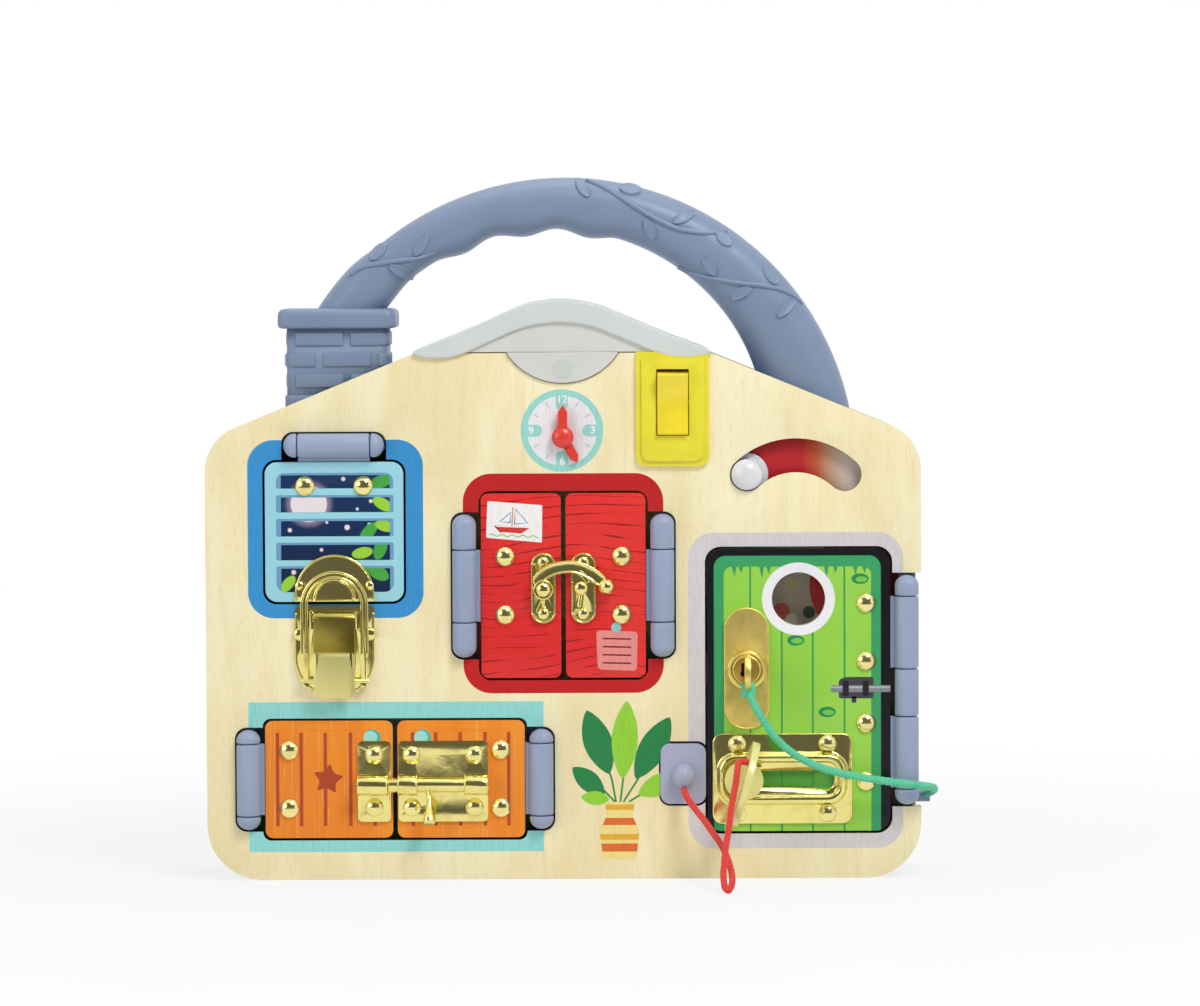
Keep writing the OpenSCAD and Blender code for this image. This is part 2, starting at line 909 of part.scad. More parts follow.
module lamp_board()
    color("seagreen")
        translate([0, 0, ridge_h - core_inset]) {
            translate([-22, -9, 0])
                cube([44, 18, 1.6]);
            for (i = [-1:1])
                translate([i * 14, 0, 1.6])
                    dome(2.5, 3.5);
        }

// ---- clock ----

module clock_pin()
    color("crimson")
        on_front(0, clock_z) {
            disc(pin_r, -panel_t - 1.2, 5);
            disc(3, -panel_t - 2.4, -panel_t - loose_gap);
            translate([0, 0, 4.6])
                dome(hub_r - 0.6, 1.4);
        }

module hand(length, out)
    on_front(0, clock_z)
        translate([0, 0, out])
            difference() {
                linear_extrude(1.6)
                    union() {
                        circle(hub_r);
                        polygon([
                            [-hand_w / 2, 0], [-hand_w / 2, length - 3],
                            [0, length], [hand_w / 2, length - 3], [hand_w / 2, 0]
                        ]);
                    }
                disc(pin_r + run_gap, -1, 3);
            }

module minute_hand()
    color("red")
        hand(minute_l, 2.5);

module hour_hand()
    color("red")
        translate([0, 0, clock_z])
            rotate([0, hour_angle, 0])
                translate([0, 0, -clock_z])
                    hand(hour_l, 0.5);

// ---- switch ----

switch_z = ridge_h - lamp_skirt - loose_gap - switch_h / 2;
rocker_z = switch_z + 4.3;
housing_t = 1.6;
// How far the hollow of the rocker's face stands out
rocker_mid = 4.4;

module switch_cut(gap)
    translate([switch_x, rocker_z])
        square([rocker_w, rocker_h] + [1, 1] * 2 * (housing_t + gap + 0.4), center = true);

// A plate with round lower corners, whose upper edge lies along the lamp.
module switch_face(inset, r, t)
    on_front(switch_x, switch_z)
        linear_extrude(t) {
            translate([0, inset / 2])
                round_rect(switch_w - 2 * inset, switch_h - inset, r);
            translate([inset - switch_w / 2, 0])
                square([switch_w - 2 * inset, switch_h / 2]);
        }

module switch_plate()
    color("gold")
        difference() {
            union() {
                switch_face(0, 4.2, switch_t - 1.2);
                switch_face(2.3, 4, switch_t);
                on_front(0, 0)
                    through(-panel_t - 6, 0.5)
                        switch_cut(0);
            }
            on_front(switch_x, rocker_z)
                translate([-rocker_w / 2 - 0.4, -rocker_h / 2 - 0.4, -panel_t - 6 + housing_t])
                    cube([rocker_w + 0.8, rocker_h + 0.8, 40]);
            on_front(switch_x, rocker_z)
                rocker_axle(run_gap, housing_t - 0.4);
        }

module rocker_axle(gap, reach)
    translate([-rocker_w / 2 - reach, 0, 0])
        rotate([0, 90, 0])
            cylinder(r = 1.2 + gap, h = rocker_w + 2 * reach);

module rocker()
    color("gold")
        on_front(switch_x, rocker_z) {
            rotate([rocker_tilt, 0, 0])
                translate([-rocker_w / 2, 0, 0])
                    rotate([90, 0, 90])
                        linear_extrude(rocker_w)
                            polygon(concat(
                                [[0, -5.5], [-rocker_h / 2 + 0.8, -2.5], [-rocker_h / 2 + 0.6, 6]],
                                [for (i = [-8:8]) [i / 8 * (rocker_h / 2 - 1.2), rocker_mid + 2.2 * pow(i / 8, 2)]],
                                [[rocker_h / 2 - 0.6, 6], [rocker_h / 2 - 0.8, -2.5]]
                            ));
            rocker_axle(0, housing_t - 0.8);
        }

// ---- arc slider ----

module slider_track()
    color("firebrick")
        on_front(0, 0)
            through(-panel_t, -panel_t + 1.1)
                arc_band(arc_slot + 2 * slider_pocket - 2 * loose_gap);

module slider_knob()
    color("white")
        on_front(arc_x - arc_r * sin(arc_half), arc_z + arc_r * cos(arc_half)) {
            disc(slider_d / 2, -panel_t + 1.4, 1.6);
            disc(slider_d / 2 + 2.6, -panel_t + 1.4, -slider_lip - loose_gap);
            translate([0, 0, 1.6])
                dome(slider_d / 2, 3);
        }

// ---- hinges of the board ----

module hinge_bases()
    color(shell) {
        window_hinge_place()
            hinge_base(short_hinge);
        for (side = [-1, 1]) {
            red_hinge_place(side)
                hinge_base(tall_hinge);
            gate_hinge_place(side)
                hinge_base(short_hinge);
        }
        main_hinge_place()
            hinge_base(long_hinge, true);
    }

module hinge_pins()
    color("silver") {
        window_hinge_place()
            hinge_pin(short_hinge);
        for (side = [-1, 1]) {
            red_hinge_place(side)
                hinge_pin(tall_hinge);
            gate_hinge_place(side)
                hinge_pin(short_hinge);
        }
        main_hinge_place()
            hinge_pin(long_hinge);
    }

// ---- window flap and toggle latch ----

flap_w = window_w - 2 * door_gap;
flap_h = window_h - 2 * door_gap;
flap_low = window_z - flap_h / 2;
catch_r = 9;

module window_flap()
    color("lightblue")
        difference() {
            window_hinge_place()
                door_blank(short_hinge, flap_h, flap_w, 5);
            catch_rivet_places()
                disc(rivet_r, -door_t - 1, 1);
        }

module window_leaf()
    color(shell)
        window_hinge_place()
            hinge_leaf(short_hinge);

module catch_rivet_places()
    for (s = [-1, 1])
        on_front(window_x + s * (latch_w / 2 - 2), flap_low + 6.8)
            children();

module window_fasteners()
    color(brass) {
        window_hinge_place()
            leaf_screws(short_hinge)
                dome_screw();
        catch_rivet_places()
            translate([0, 0, brass_t])
                rivet(1.9, 0.9, rivet_r - run_gap, brass_t + door_t);
    }

// The arched plate on the flap, with the raised half dome that the loop holds.
module catch_plate()
    color(brass)
        difference() {
            union() {
                on_front(window_x, flap_low + 0.2)
                    intersection() {
                        union() {
                            translate([0, 3, 0])
                                disc(latch_w / 2, 0, brass_t);
                            translate([-latch_w / 2, 0, 0])
                                cube([latch_w, 3, brass_t]);
                        }
                        translate([-latch_w / 2, 0, 0])
                            cube([latch_w, latch_w, brass_t]);
                    }
                on_front(window_x, flap_low + 1.2)
                    intersection() {
                        translate([0, 0, brass_t])
                            cylinder(r1 = catch_r, r2 = catch_r - 1.6, h = 3.4);
                        translate([-catch_r, 0, 0])
                            cube([2 * catch_r, 2 * catch_r, 10]);
                    }
            }
            catch_rivet_places()
                disc(rivet_r, -1, brass_t + 1);
        }

base_top = flap_low - door_gap - 0.6;
base_low = base_top - 38.6;
pivot_out = 5;
lever_pin_r = 1.2;
lever_pivot_r = 3.2;
loop_pin_r = 1.1;
loop_out = pivot_out - 1.4;
loop_t = 1.8;
case_low = lever_z - 14;
arm_high = loop_pin_z + 10;
lever_low = loop_pin_z - 7;

module latch_rivet_places()
    for (s = [-1, 1])
        on_front(window_x + s * (latch_w / 2 - 2), base_top - 11.6)
            children();

module latch_base()
    color(brass)
        difference() {
            union() {
                on_front(window_x, 0)
                    linear_extrude(brass_t)
                        union() {
                            translate([-latch_w / 2, base_low + latch_w / 2])
                                square([latch_w, base_top - 2 - base_low - latch_w / 2]);
                            translate([-latch_w / 2 + 2, base_top - 4])
                                square([latch_w - 4, 4]);
                            for (s = [-1, 1])
                                translate([s * (latch_w / 2 - 2), base_top - 2])
                                    circle(2);
                            translate([0, base_low + latch_w / 2])
                                circle(latch_w / 2);
                        }
                for (s = [-1, 1])
                    on_front(window_x + s * (lever_w / 2 + 1), lever_z)
                        translate([-0.6, -4, 0.5])
                            cube([1.2, 7.5, pivot_out + 1.8]);
                on_front(window_x, lever_z)
                    cross_pin(lever_pin_r, lever_w + 3.2, pivot_out);
            }
            latch_rivet_places()
                disc(rivet_r, -1, brass_t + 1);
        }

// A channel with side flanges, and a thumb tab that flares at the bottom.
module latch_lever()
    color(brass)
        difference() {
            union() {
                on_front(window_x, lever_z)
                    cross_pin(lever_pivot_r, lever_w, pivot_out);
                on_front(window_x, case_low)
                    translate([-lever_w / 2, 0, pivot_out - 2.4])
                        cube([lever_w, lever_z - case_low, 5.6]);
                for (s = [-1, 1])
                    on_front(window_x + s * (lever_w / 2 - 0.6), loop_pin_z - 2)
                        translate([-0.6, 0, pivot_out - 2.6])
                            cube([1.2, case_low - loop_pin_z + 4, 4.6]);
                on_front(window_x, 0)
                    translate([0, 0, pivot_out + 1])
                        linear_extrude(1.2)
                            tab_2d();
                on_front(window_x, loop_pin_z)
                    cross_pin(loop_pin_r, loop_w + 2 * loop_strap, loop_out);
            }
            on_front(window_x, lever_z)
                cross_pin(lever_pin_r + run_gap, lever_w + 2, pivot_out);
            on_front(window_x, arm_high - 4)
                translate([-lever_w / 2 + 1.2, 0, pivot_out - 4])
                    cube([lever_w - 2.4, lever_z - lever_pivot_r - arm_high + 3.8, 5.6]);
        }

module cross_pin(r, length, out)
    translate([-length / 2, 0, out])
        rotate([0, 90, 0])
            cylinder(r = r, h = length);

module tab_2d() {
    neck = lever_w / 2 - 2;
    flare = lever_w / 2 + 0.4;
    polygon([
        [-neck, arm_high + 3], [-neck, arm_high], [-flare, lever_low + 2], [3.4 - flare, lever_low],
        [flare - 3.4, lever_low], [flare, lever_low + 2], [neck, arm_high], [neck, arm_high + 3]
    ]);
}

loop_r = loop_w / 2 + loop_strap;
loop_bend = loop_top - loop_r;

module loop_2d() {
    intersection() {
        translate([0, loop_bend])
            difference() {
                circle(loop_r);
                circle(loop_w / 2);
            }
        translate([-loop_r, loop_bend])
            square([2 * loop_r, loop_r]);
    }
    for (s = [-1, 1]) {
        translate([s * (loop_r - loop_strap / 2), (loop_bend + arm_high) / 2])
            square([loop_strap, loop_bend - arm_high + 0.02], center = true);
        translate([s * (loop_w / 2 + 1.1), (loop_pin_z - 2.4 + arm_high) / 2])
            square([2.2, arm_high - loop_pin_z + 2.4], center = true);
    }
}

module latch_loop()
    color(brass)
        difference() {
            on_front(window_x, 0)
                translate([0, 0, loop_out - loop_t / 2])
                    linear_extrude(loop_t)
                        loop_2d();
            on_front(window_x, loop_pin_z)
                cross_pin(loop_pin_r + run_gap, 2 * loop_w, loop_out);
        }

// ---- red double door and its hook ----

red_door_w = red_w / 2 - 2 * door_gap;
red_door_h = red_h - 2 * door_gap;
hook_at = 8.4;
hook_z = red_z - 1;
pivot_z = hook_z - 0.4;

module red_door(side)
    color("firebrick")
        difference() {
            red_hinge_place(side)
                door_blank(tall_hinge, red_door_w, red_door_h, 3);
            hook_screw_places(side)
                disc(rivet_r, -door_t - 1, 1);
        }

module hook_screw_places(side)
    for (s = [-1, 1])
        on_front(side * hook_at, hook_z + s * (hook_h / 2 - 4))
            children();

module red_leaf(side)
    color(shell)
        red_hinge_place(side)
            hinge_leaf(tall_hinge);

module red_fasteners(side)
    color(brass) {
        red_hinge_place(side)
            leaf_screws(tall_hinge)
                dome_screw();
        hook_screw_places(side)
            translate([0, 0, brass_t])
                rivet(2.4, 1.2, rivet_r - run_gap, brass_t + door_t);
    }

module hook_back(side)
    difference() {
        on_front(side * hook_at, hook_z)
            slab(hook_w, hook_h, hook_w / 2 - 0.01, brass_t);
        hook_screw_places(side)
            disc(rivet_r, -1, brass_t + 1);
    }

module hook_plate()
    color(brass) {
        hook_back(-1);
        on_front(-hook_at, pivot_z) {
            disc(3.2, 0.5, brass_t + 2);
            disc(pin_r, 1, brass_t + 5.4);
            translate([0, 0, brass_t + 4.8])
                dome(3, 1.2);
        }
    }

module post_plate()
    color(brass) {
        hook_back(1);
        on_front(hook_at - 1, pivot_z + 0.6) {
            disc(post_r, 0.5, brass_t + 4);
            disc(post_r - 0.8, brass_t + 2, brass_t + 4.8);
        }
        on_front(hook_at - 1, pivot_z + 0.6)
            linear_extrude(brass_t + 1.2)
                strip([[0, 0], [-1.4, -8.4]], 2.4);
    }

// A flat strip with round ends along a list of points.
module strip(points, w)
    for (i = [0:len(points) - 1]) {
        translate(points[i])
            circle(w / 2);
        if (i > 0) {
            d = points[i] - points[i - 1];
            translate(points[i - 1])
                rotate(atan2(d[1], d[0]))
                    translate([0, -w / 2])
                        square([norm(d), w]);
        }
    }

// A ribbon of one width along a smooth list of points.
function across(points, i) =
    let (t = unit(points[min(i + 1, len(points) - 1)] - points[max(i - 1, 0)]))
    [-t[1], t[0]];

module ribbon(points, w)
    polygon(concat(
        [for (i = [0:len(points) - 1]) points[i] + across(points, i) * w / 2],
        [for (i = [len(points) - 1:-1:0]) points[i] - across(points, i) * w / 2]
    ));

arm_path = [
    [0, 0], [1, 3.2], [2.6, 5.8], [5, 8], [8, 9.5], [11.5, 10.2],
    [15, 10.1], [18.4, 9], [21.6, 7], [24, 4.6], [26.2, 1.6]
];
arm_t = 2.2;
arm_ball_r = 3.2;

module hook_arm()
    color(brass)
        on_front(-hook_at, pivot_z)
            difference() {
                translate([0, 0, brass_t + 2.3]) {
                    linear_extrude(arm_t)
                        ribbon(arm_path, arm_w);
                    cylinder(r = 3, h = arm_t);
                    translate([26.6, 1.2, arm_t / 2])
                        rotate_extrude()
                            polygon([for (i = [0:8]) arm_ball_r * [sin(22.5 * i), -cos(22.5 * i)]]);
                }
                disc(pin_r + run_gap, 0, 8);
            }

// ---- gates and barrel bolt ----

gate_door_w = gate_w / 2 - 2 * door_gap;
gate_door_h = gate_h - 2 * door_gap;
keeper_w = 13.8;
keeper_x = gate_x - door_gap - 0.8 - keeper_w;
bolt_x = gate_x + door_gap + 0.4;
bolt_mid_z = gate_z - 0.8;
guide_l = 8;
guide_wall = 1.2;

module gate(side)
    color("darkorange")
        difference() {
            gate_hinge_place(side)
                door_blank(short_hinge, gate_door_w, gate_door_h, 3.2);
            gate_plate_screws(side)
                disc(rivet_r, -door_t - 1, 1);
        }

module gate_plate_screws(side) {
    spots = side < 0 ? [keeper_x + keeper_w / 2] : [bolt_x + 5.6, bolt_x + bolt_w - 5.6];
    for (x = spots, s = [-1, 1])
        on_front(x, bolt_mid_z + s * (bolt_h / 2 - 6))
            children();
}

module gate_leaf(side)
    color(shell)
        gate_hinge_place(side)
            hinge_leaf(short_hinge);

module gate_fasteners(side)
    color(brass) {
        gate_hinge_place(side)
            leaf_screws(short_hinge)
                dome_screw();
        gate_plate_screws(side)
            translate([0, 0, brass_t])
                rivet(plate_screw_r, 1.9, rivet_r - run_gap, brass_t + door_t);
    }

module guide(x, length)
    translate([x, 0, 0]) {
        translate([0, 0, rod_out])
            rotate([0, 90, 0])
                cylinder(r = rod_r + guide_wall, h = length);
        translate([0, -rod_r - guide_wall, 0.5])
            cube([length, 2 * (rod_r + guide_wall), rod_out - 0.5]);
    }

module rod_bore(x, length, gap)
    translate([x, 0, rod_out])
        rotate([0, 90, 0])
            cylinder(r = rod_r + gap, h = length);

module keeper()
    color(brass)
        difference() {
            union() {
                on_front(keeper_x + keeper_w / 2, bolt_mid_z)
                    slab(keeper_w, bolt_h, 2, brass_t);
                on_front(0, rod_z)
                    guide(keeper_x, keeper_w - 1.2);
            }
            on_front(0, rod_z)
                rod_bore(keeper_x - 1, keeper_w + 2, loose_gap);
            gate_plate_screws(-1)
                disc(rivet_r, -1, brass_t + 1);
        }

module bolt_plate()
    color(brass)
        difference() {
            union() {
                on_front(bolt_x + bolt_w / 2, bolt_mid_z)
                    slab(bolt_w, bolt_h, 2, brass_t);
                on_front(0, rod_z) {
                    guide(bolt_x, guide_l);
                    guide(bolt_x + bolt_w - guide_l - 1.6, guide_l + 1.6);
                }
            }
            on_front(0, rod_z)
                rod_bore(bolt_x - 1, bolt_w + 2, 0.08);
            gate_plate_screws(1)
                disc(rivet_r, -1, brass_t + 1);
        }

rod_tip = keeper_x + keeper_w - 1.2 + loose_gap;
stem_x = bolt_x + guide_l + 5.2;

module bolt_rod()
    color(brass)
        on_front(0, rod_z) {
            rod_bore(rod_tip, rod_l, 0);
            translate([stem_x, 0, rod_out])
                rotate([68, 0, 0])
                    rotate_extrude()
                        polygon([[0, 0], [1.2, 0], [1.2, 9], [2.6, 14], [2.8, 16], [2, 17], [0, 17]]);
        }

// ---- main door ----

main_door_w = main_w - 2 * door_gap;
main_door_h = main_h - 2 * door_gap;
main_door_x = main_door_r - main_door_w;
chain_x = main_door_x + 2 + chain_w / 2;
knob_x = chain_x - 16.3;

module main_door()
    color("yellowgreen")
        difference() {
            main_hinge_place()
                door_blank(long_hinge, main_door_w, main_door_h, 6);
            on_front(main_x, peep_z)
                disc(peep_r, -door_t - 1, 1);
            on_front(lock_x, lock_z)
                disc(barrel_r + run_gap, -door_t - 1, 1);
            chain_rivet_places()
                disc(rivet_r, -door_t - 1, 1);
        }

module main_leaf()
    color(shell)
        main_hinge_place()
            hinge_leaf(long_hinge);

module chain_rivet_places()
    for (sx = [-1, 1], sz = [-1, 1])
        on_front(chain_x + sx * (chain_w / 2 - 10.3), chain_z + sz * (chain_h / 2 - 4.4))
            children();

module main_fasteners()
    color(brass) {
        main_hinge_place()
            leaf_screws(long_hinge)
                dome_screw();
        chain_rivet_places()
            translate([0, 0, brass_t])
                rivet(plate_screw_r, 1.9, rivet_r - run_gap, brass_t + door_t);
    }

plate_w = 2 * lock_r + 3;
plate_l = 2.7 * plate_w;
plate_up = 0.5;

module escutcheon()
    color(brass)
        on_front(lock_x, lock_z + plate_up)
            difference() {
                slab(plate_w, plate_l, plate_w / 2 - 0.01, brass_t);
                translate([0, -plate_up, 0])
                    disc(barrel_r + run_gap, -1, brass_t + 1);
            }

bolt_t = 3;
bolt_tall = 14;
barrel_r = plug_r + 1.55;

module lock_body()
    color("darkgoldenrod")
        on_front(lock_x, lock_z)
            difference() {
                union() {
                    disc(barrel_r, -door_t, brass_t + 0.5);
                    disc(lock_r, brass_t, brass_t + 1.8);
                    translate([-lock_in + 3, -12, -door_t - 7])
                        cube([lock_in + 10, 24, 7]);
                }
                disc(plug_r + run_gap, -door_t - 3.2, 6);
                translate([-lock_in, -bolt_tall / 2 - loose_gap, -door_t - 4.4 - loose_gap])
                    cube([lock_in + 8.5, bolt_tall + 2 * loose_gap, bolt_t + 2 * loose_gap]);
            }

// The bolt ends flush with the door's edge gap; the plug throws it under the front panel.
module lock_bolt()
    color([0.42, 0.30, 0.16])
        on_front(lock_x, lock_z)
            translate([-lock_in - door_gap + loose_gap, -bolt_tall / 2, -door_t - 4.4])
                cube([21, bolt_tall, bolt_t]);

module lock_plug()
    color(brass)
        on_front(lock_x, lock_z)
            difference() {
                disc(plug_r, -door_t - 1, brass_t + 2.2);
                key_blade(0.05, -door_t + 1);
            }

module key_blade(gap, from)
    translate([-1 - gap, -3 - gap, from])
        cube([2 + 2 * gap, 6 + 2 * gap, 20]);

key_out = 8;

module key()
    color(brass)
        on_front(lock_x, lock_z)
            difference() {
                union() {
                    translate([-1, -3, -door_t + 1.2])
                        cube([2, 6, key_out + door_t]);
                    translate([-1.2, 0, key_out + bow_r])
                        rotate([0, 90, 0])
                            cylinder(r = bow_r, h = 2.4);
                }
                translate([-3, -bow_r * 0.35, key_out + bow_r * 1.25])
                    rotate([0, 90, 0])
                        cylinder(r = 2.2, h = 6);
            }

ridge_out = 2.6;

module chain_plate()
    color(brass)
        difference() {
            union() {
                on_front(chain_x, chain_z)
                    slab(chain_w, chain_h, 4, brass_t);
                on_front(chain_x, chain_z)
                    slab(chain_w - 4, 22, 6, brass_t + ridge_out);
            }
            on_front(chain_x, chain_z)
                translate([0, 0, -1])
                    slab(chain_w - 8, 18, 4, ridge_out + 1.2);
            on_front(knob_x, chain_z)
                through(-1, 9)
                    strip([[0, 0], [chain_run, 0]], chain_slot);
            on_front(knob_x + chain_run, chain_z)
                disc(5.2, -1, 9);
            chain_rivet_places()
                disc(rivet_r, -1, brass_t + 1);
        }

knob_out = brass_t + ridge_out + 2.2;
coin_out = knob_out + 3 + coin_d * 0.36;

module chain_knob()
    color("gold")
        on_front(knob_x, chain_z) {
            disc(4.8, 0.3, ridge_out - 0.3);
            disc(chain_slot / 2 - 0.5, 0.3, knob_out + 1);
            disc(8.1, knob_out, knob_out + 3);
            intersection() {
                rotate([0, 0, -coin_tilt])
                    difference() {
                        translate([-coin_t / 2, 0, coin_out])
                            rotate([0, 90, 0])
                                cylinder(r = coin_d / 2, h = coin_t, $fn = 64);
                        translate([-coin_t, 9.4, coin_out + 6])
                            rotate([0, 90, 0])
                                cylinder(r = 1.9, h = 2 * coin_t);
                    }
                disc(coin_d, knob_out + 0.5, 80);
            }
        }

// ---- cord block ----

// The block stands in a notch at the left side of the main door's opening.
block_w = 19;
block_h = 25.4;
block_x = main_x - main_w / 2 + 0.2 - block_w / 2;
block_z = 44.2;
ball_out = 3.5;
ball_r = 5;

module block_2d(gap)
    translate([block_x, block_z])
        round_rect(block_w + 2 * gap, block_h + 2 * gap, 4);

module cord_block()
    color(shell) {
        on_front(block_x, block_z)
            through(-panel_t - 3, 0.8)
                round_rect(block_w, block_h, 4);
        on_front(block_x - 1.6, block_z)
            through(-panel_t - 3, -panel_t)
                round_rect(block_w + 2.8, block_h + 5.6, 4);
        on_front(block_x, block_z - 0.6)
            translate([0, 0, ball_out])
                sphere(ball_r);
    }

// ---- cords ----

eye_depth = 22;
eye_z = 33;

// Route points: across, out of the front face, up.
red_route = [
    [50, 5.5, 38.4], [51.5, 9, 35], [54.5, 13, 31], [58, 18, 27], [61.5, 25, 22.5],
    [65, 32, 18], [67.5, 39, 13], [69, 46, 8], [69, 51, 4.2], [67.5, 54, 1.8], [66, 53, 2.6],
    [65.5, 50, 7], [66, 46.5, 12.5], [66.8, 43, 19], [68.2, 39.5, 26.5], [69.4, 36, 35],
    [71, 33.4, 43], [71.8, 31.4, 48.4], [72.6, 29, 51.6], [74.8, 28, 51.95], [77.6, 28, 51.1]
];
green_route = [
    [77.4, 16, 80], [78.5, 17, 76.5], [80.5, 18, 72.5], [83.5, 17.5, 67.5], [87.5, 16.5, 61.5],
    [93, 15.5, 56], [99.5, 14.5, 51.5], [107, 13.5, 48], [115, 12.5, 45.5], [123, 12, 43.8],
    [131, 11.5, 42.4], [139, 11.2, 41.2], [146.5, 10.5, 40.2], [152, 7.5, 39.2], [155, 2, 38],
    [155.6, -5, 36.4], [154.4, -12, 34.6], [152.8, -18.2, 33.4]
];

function at_front(p) = [p[0], front_y - p[1], p[2]];
function bend(route, i) =
    unit(route[min(i + 1, len(route) - 1)] - route[max(i - 1, 0)]);
function side_of(t) = unit(cross(t, abs(t[1]) > 0.9 ? [1, 0, 0] : [0, 1, 0]));
function cord_ring(route, i, r) =
    let (
        t = bend(route, i),
        u = side_of(t),
        v = cross(t, u)
    )
    [for (k = [0:7]) route[i] + r * (cos(45 * k) * u + sin(45 * k) * v)];

module cord(route, d) {
    line = [for (p = route) at_front(p)];
    skin([for (i = [0:len(line) - 1]) cord_ring(line, i, d / 2)]);
}

module red_cord()
    color("red")
        cord(red_route, red_cord_d);

module green_cord()
    color("mediumseagreen")
        cord(green_route, green_cord_d);

front_panel();
core_frame();
back_panel();
picture_board();
chimney();
handle();
lamp_cover();
lamp_board();
battery_box();
battery_door();
batteries();
board_fasteners();
switch_plate();
clock_pin();
slider_track();
hinge_bases();
hinge_pins();
latch_base();
cord_block();
red_cord();
green_cord();
rocker();
hour_hand();
minute_hand();
slider_knob();
window_flap();
window_leaf();
window_fasteners();
catch_plate();
latch_lever();
latch_loop();
red_door(-1);  // red_door_left
red_leaf(-1);  // red_leaf_left
red_fasteners(-1);  // red_left_fasteners
hook_plate();
hook_arm();
red_door(1);  // red_door_right
red_leaf(1);  // red_leaf_right
red_fasteners(1);  // red_right_fasteners
post_plate();
gate(-1);  // gate_left
gate_leaf(-1);  // gate_leaf_left
gate_fasteners(-1);  // gate_left_fasteners
keeper();
gate(1);  // gate_right
gate_leaf(1);  // gate_leaf_right
gate_fasteners(1);  // gate_right_fasteners
bolt_plate();
bolt_rod();
main_door();
main_leaf();
main_fasteners();
escutcheon();
lock_body();
lock_plug();
key();
lock_bolt();
chain_plate();
chain_knob();
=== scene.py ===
import math
import bpy
import bmesh
from mathutils import Matrix, Quaternion, Vector


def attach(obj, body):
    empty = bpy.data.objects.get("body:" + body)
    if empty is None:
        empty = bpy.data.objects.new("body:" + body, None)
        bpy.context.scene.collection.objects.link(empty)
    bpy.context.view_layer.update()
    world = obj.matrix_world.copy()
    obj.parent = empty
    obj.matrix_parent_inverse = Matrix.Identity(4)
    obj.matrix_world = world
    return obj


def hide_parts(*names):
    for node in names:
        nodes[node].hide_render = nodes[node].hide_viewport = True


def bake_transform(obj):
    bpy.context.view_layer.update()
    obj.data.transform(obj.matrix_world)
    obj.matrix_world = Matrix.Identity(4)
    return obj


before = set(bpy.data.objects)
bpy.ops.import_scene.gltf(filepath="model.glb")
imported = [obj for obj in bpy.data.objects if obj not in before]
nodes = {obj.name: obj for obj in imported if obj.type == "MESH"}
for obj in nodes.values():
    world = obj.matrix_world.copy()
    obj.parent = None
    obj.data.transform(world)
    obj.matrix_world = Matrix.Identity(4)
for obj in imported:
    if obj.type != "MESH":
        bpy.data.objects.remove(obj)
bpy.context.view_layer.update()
print("frame loaded,", len(nodes), "nodes")

mm = 0.001
frontY = -0.026  # the front face of the board


def spot(x, out, z):
    # millimetres across, out of the front face and up
    return Vector((x * mm, frontY - out * mm, z * mm))


def rgb(red, green, blue):
    # screen colour, 0 to 255, as the shader wants it
    return tuple((c / 255 / 12.92 if c < 10.3 else ((c / 255 + 0.055) / 1.055) ** 2.4)
                 for c in (red, green, blue)) + (1.0,)


# camera, set to one eye height in front of the board
view = {"x": 15.5, "aimHeight": 158.1, "eyeHeight": 254, "distance": 2000, "lens": 143.4, "sensor": 36,
        "roll": -0.23}


def makeCamera():
    data = bpy.data.cameras.new("viewCamera")
    data.lens = view["lens"]
    data.sensor_width = view["sensor"]
    camera = bpy.data.objects.new("viewCamera", data)
    camera.location = spot(view["x"], view["distance"], view["eyeHeight"])
    toward = (spot(view["x"], 0, view["aimHeight"]) - camera.location).to_track_quat("-Z", "Y")
    camera.rotation_mode = "QUATERNION"
    camera.rotation_quaternion = toward @ Quaternion((0, 0, 1), math.radians(view["roll"]))
    bpy.context.scene.collection.objects.link(camera)
    bpy.context.scene.camera = camera


makeCamera()
print("camera set")


# shader writing

class Wire:  # one socket, so that shader maths reads as plain expressions
    def __init__(self, paint, socket):
        self.paint = paint
        self.socket = socket

    def maths(self, operation, *values, clamp=False):
        return self.paint.node("ShaderNodeMath", {"operation": operation, "use_clamp": clamp},
                               dict(enumerate(values)))

    def __add__(self, other):
        return self.maths("ADD", self, other)

    def __radd__(self, other):
        return self.maths("ADD", other, self)

    def __sub__(self, other):
        return self.maths("SUBTRACT", self, other)

    def __rsub__(self, other):
        return self.maths("SUBTRACT", other, self)

    def __mul__(self, other):
        return self.maths("MULTIPLY", self, other)

    def __rmul__(self, other):
        return self.maths("MULTIPLY", other, self)

    def __truediv__(self, other):
        return self.maths("DIVIDE", self, other)

    def __pow__(self, other):
        return self.maths("POWER", self, other)

    def __abs__(self):
        return self.maths("ABSOLUTE", self)

    def __lt__(self, other):
        return self.maths("LESS_THAN", self, other)

    def __gt__(self, other):
        return self.maths("GREATER_THAN", self, other)

    def high(self, other):
        return self.maths("MAXIMUM", self, other)

    def low(self, other):
        return self.maths("MINIMUM", self, other)

    def part(self):
        return self.maths("FRACT", self)

    def clipped(self):
        return self.maths("ADD", self, 0.0, clamp=True)


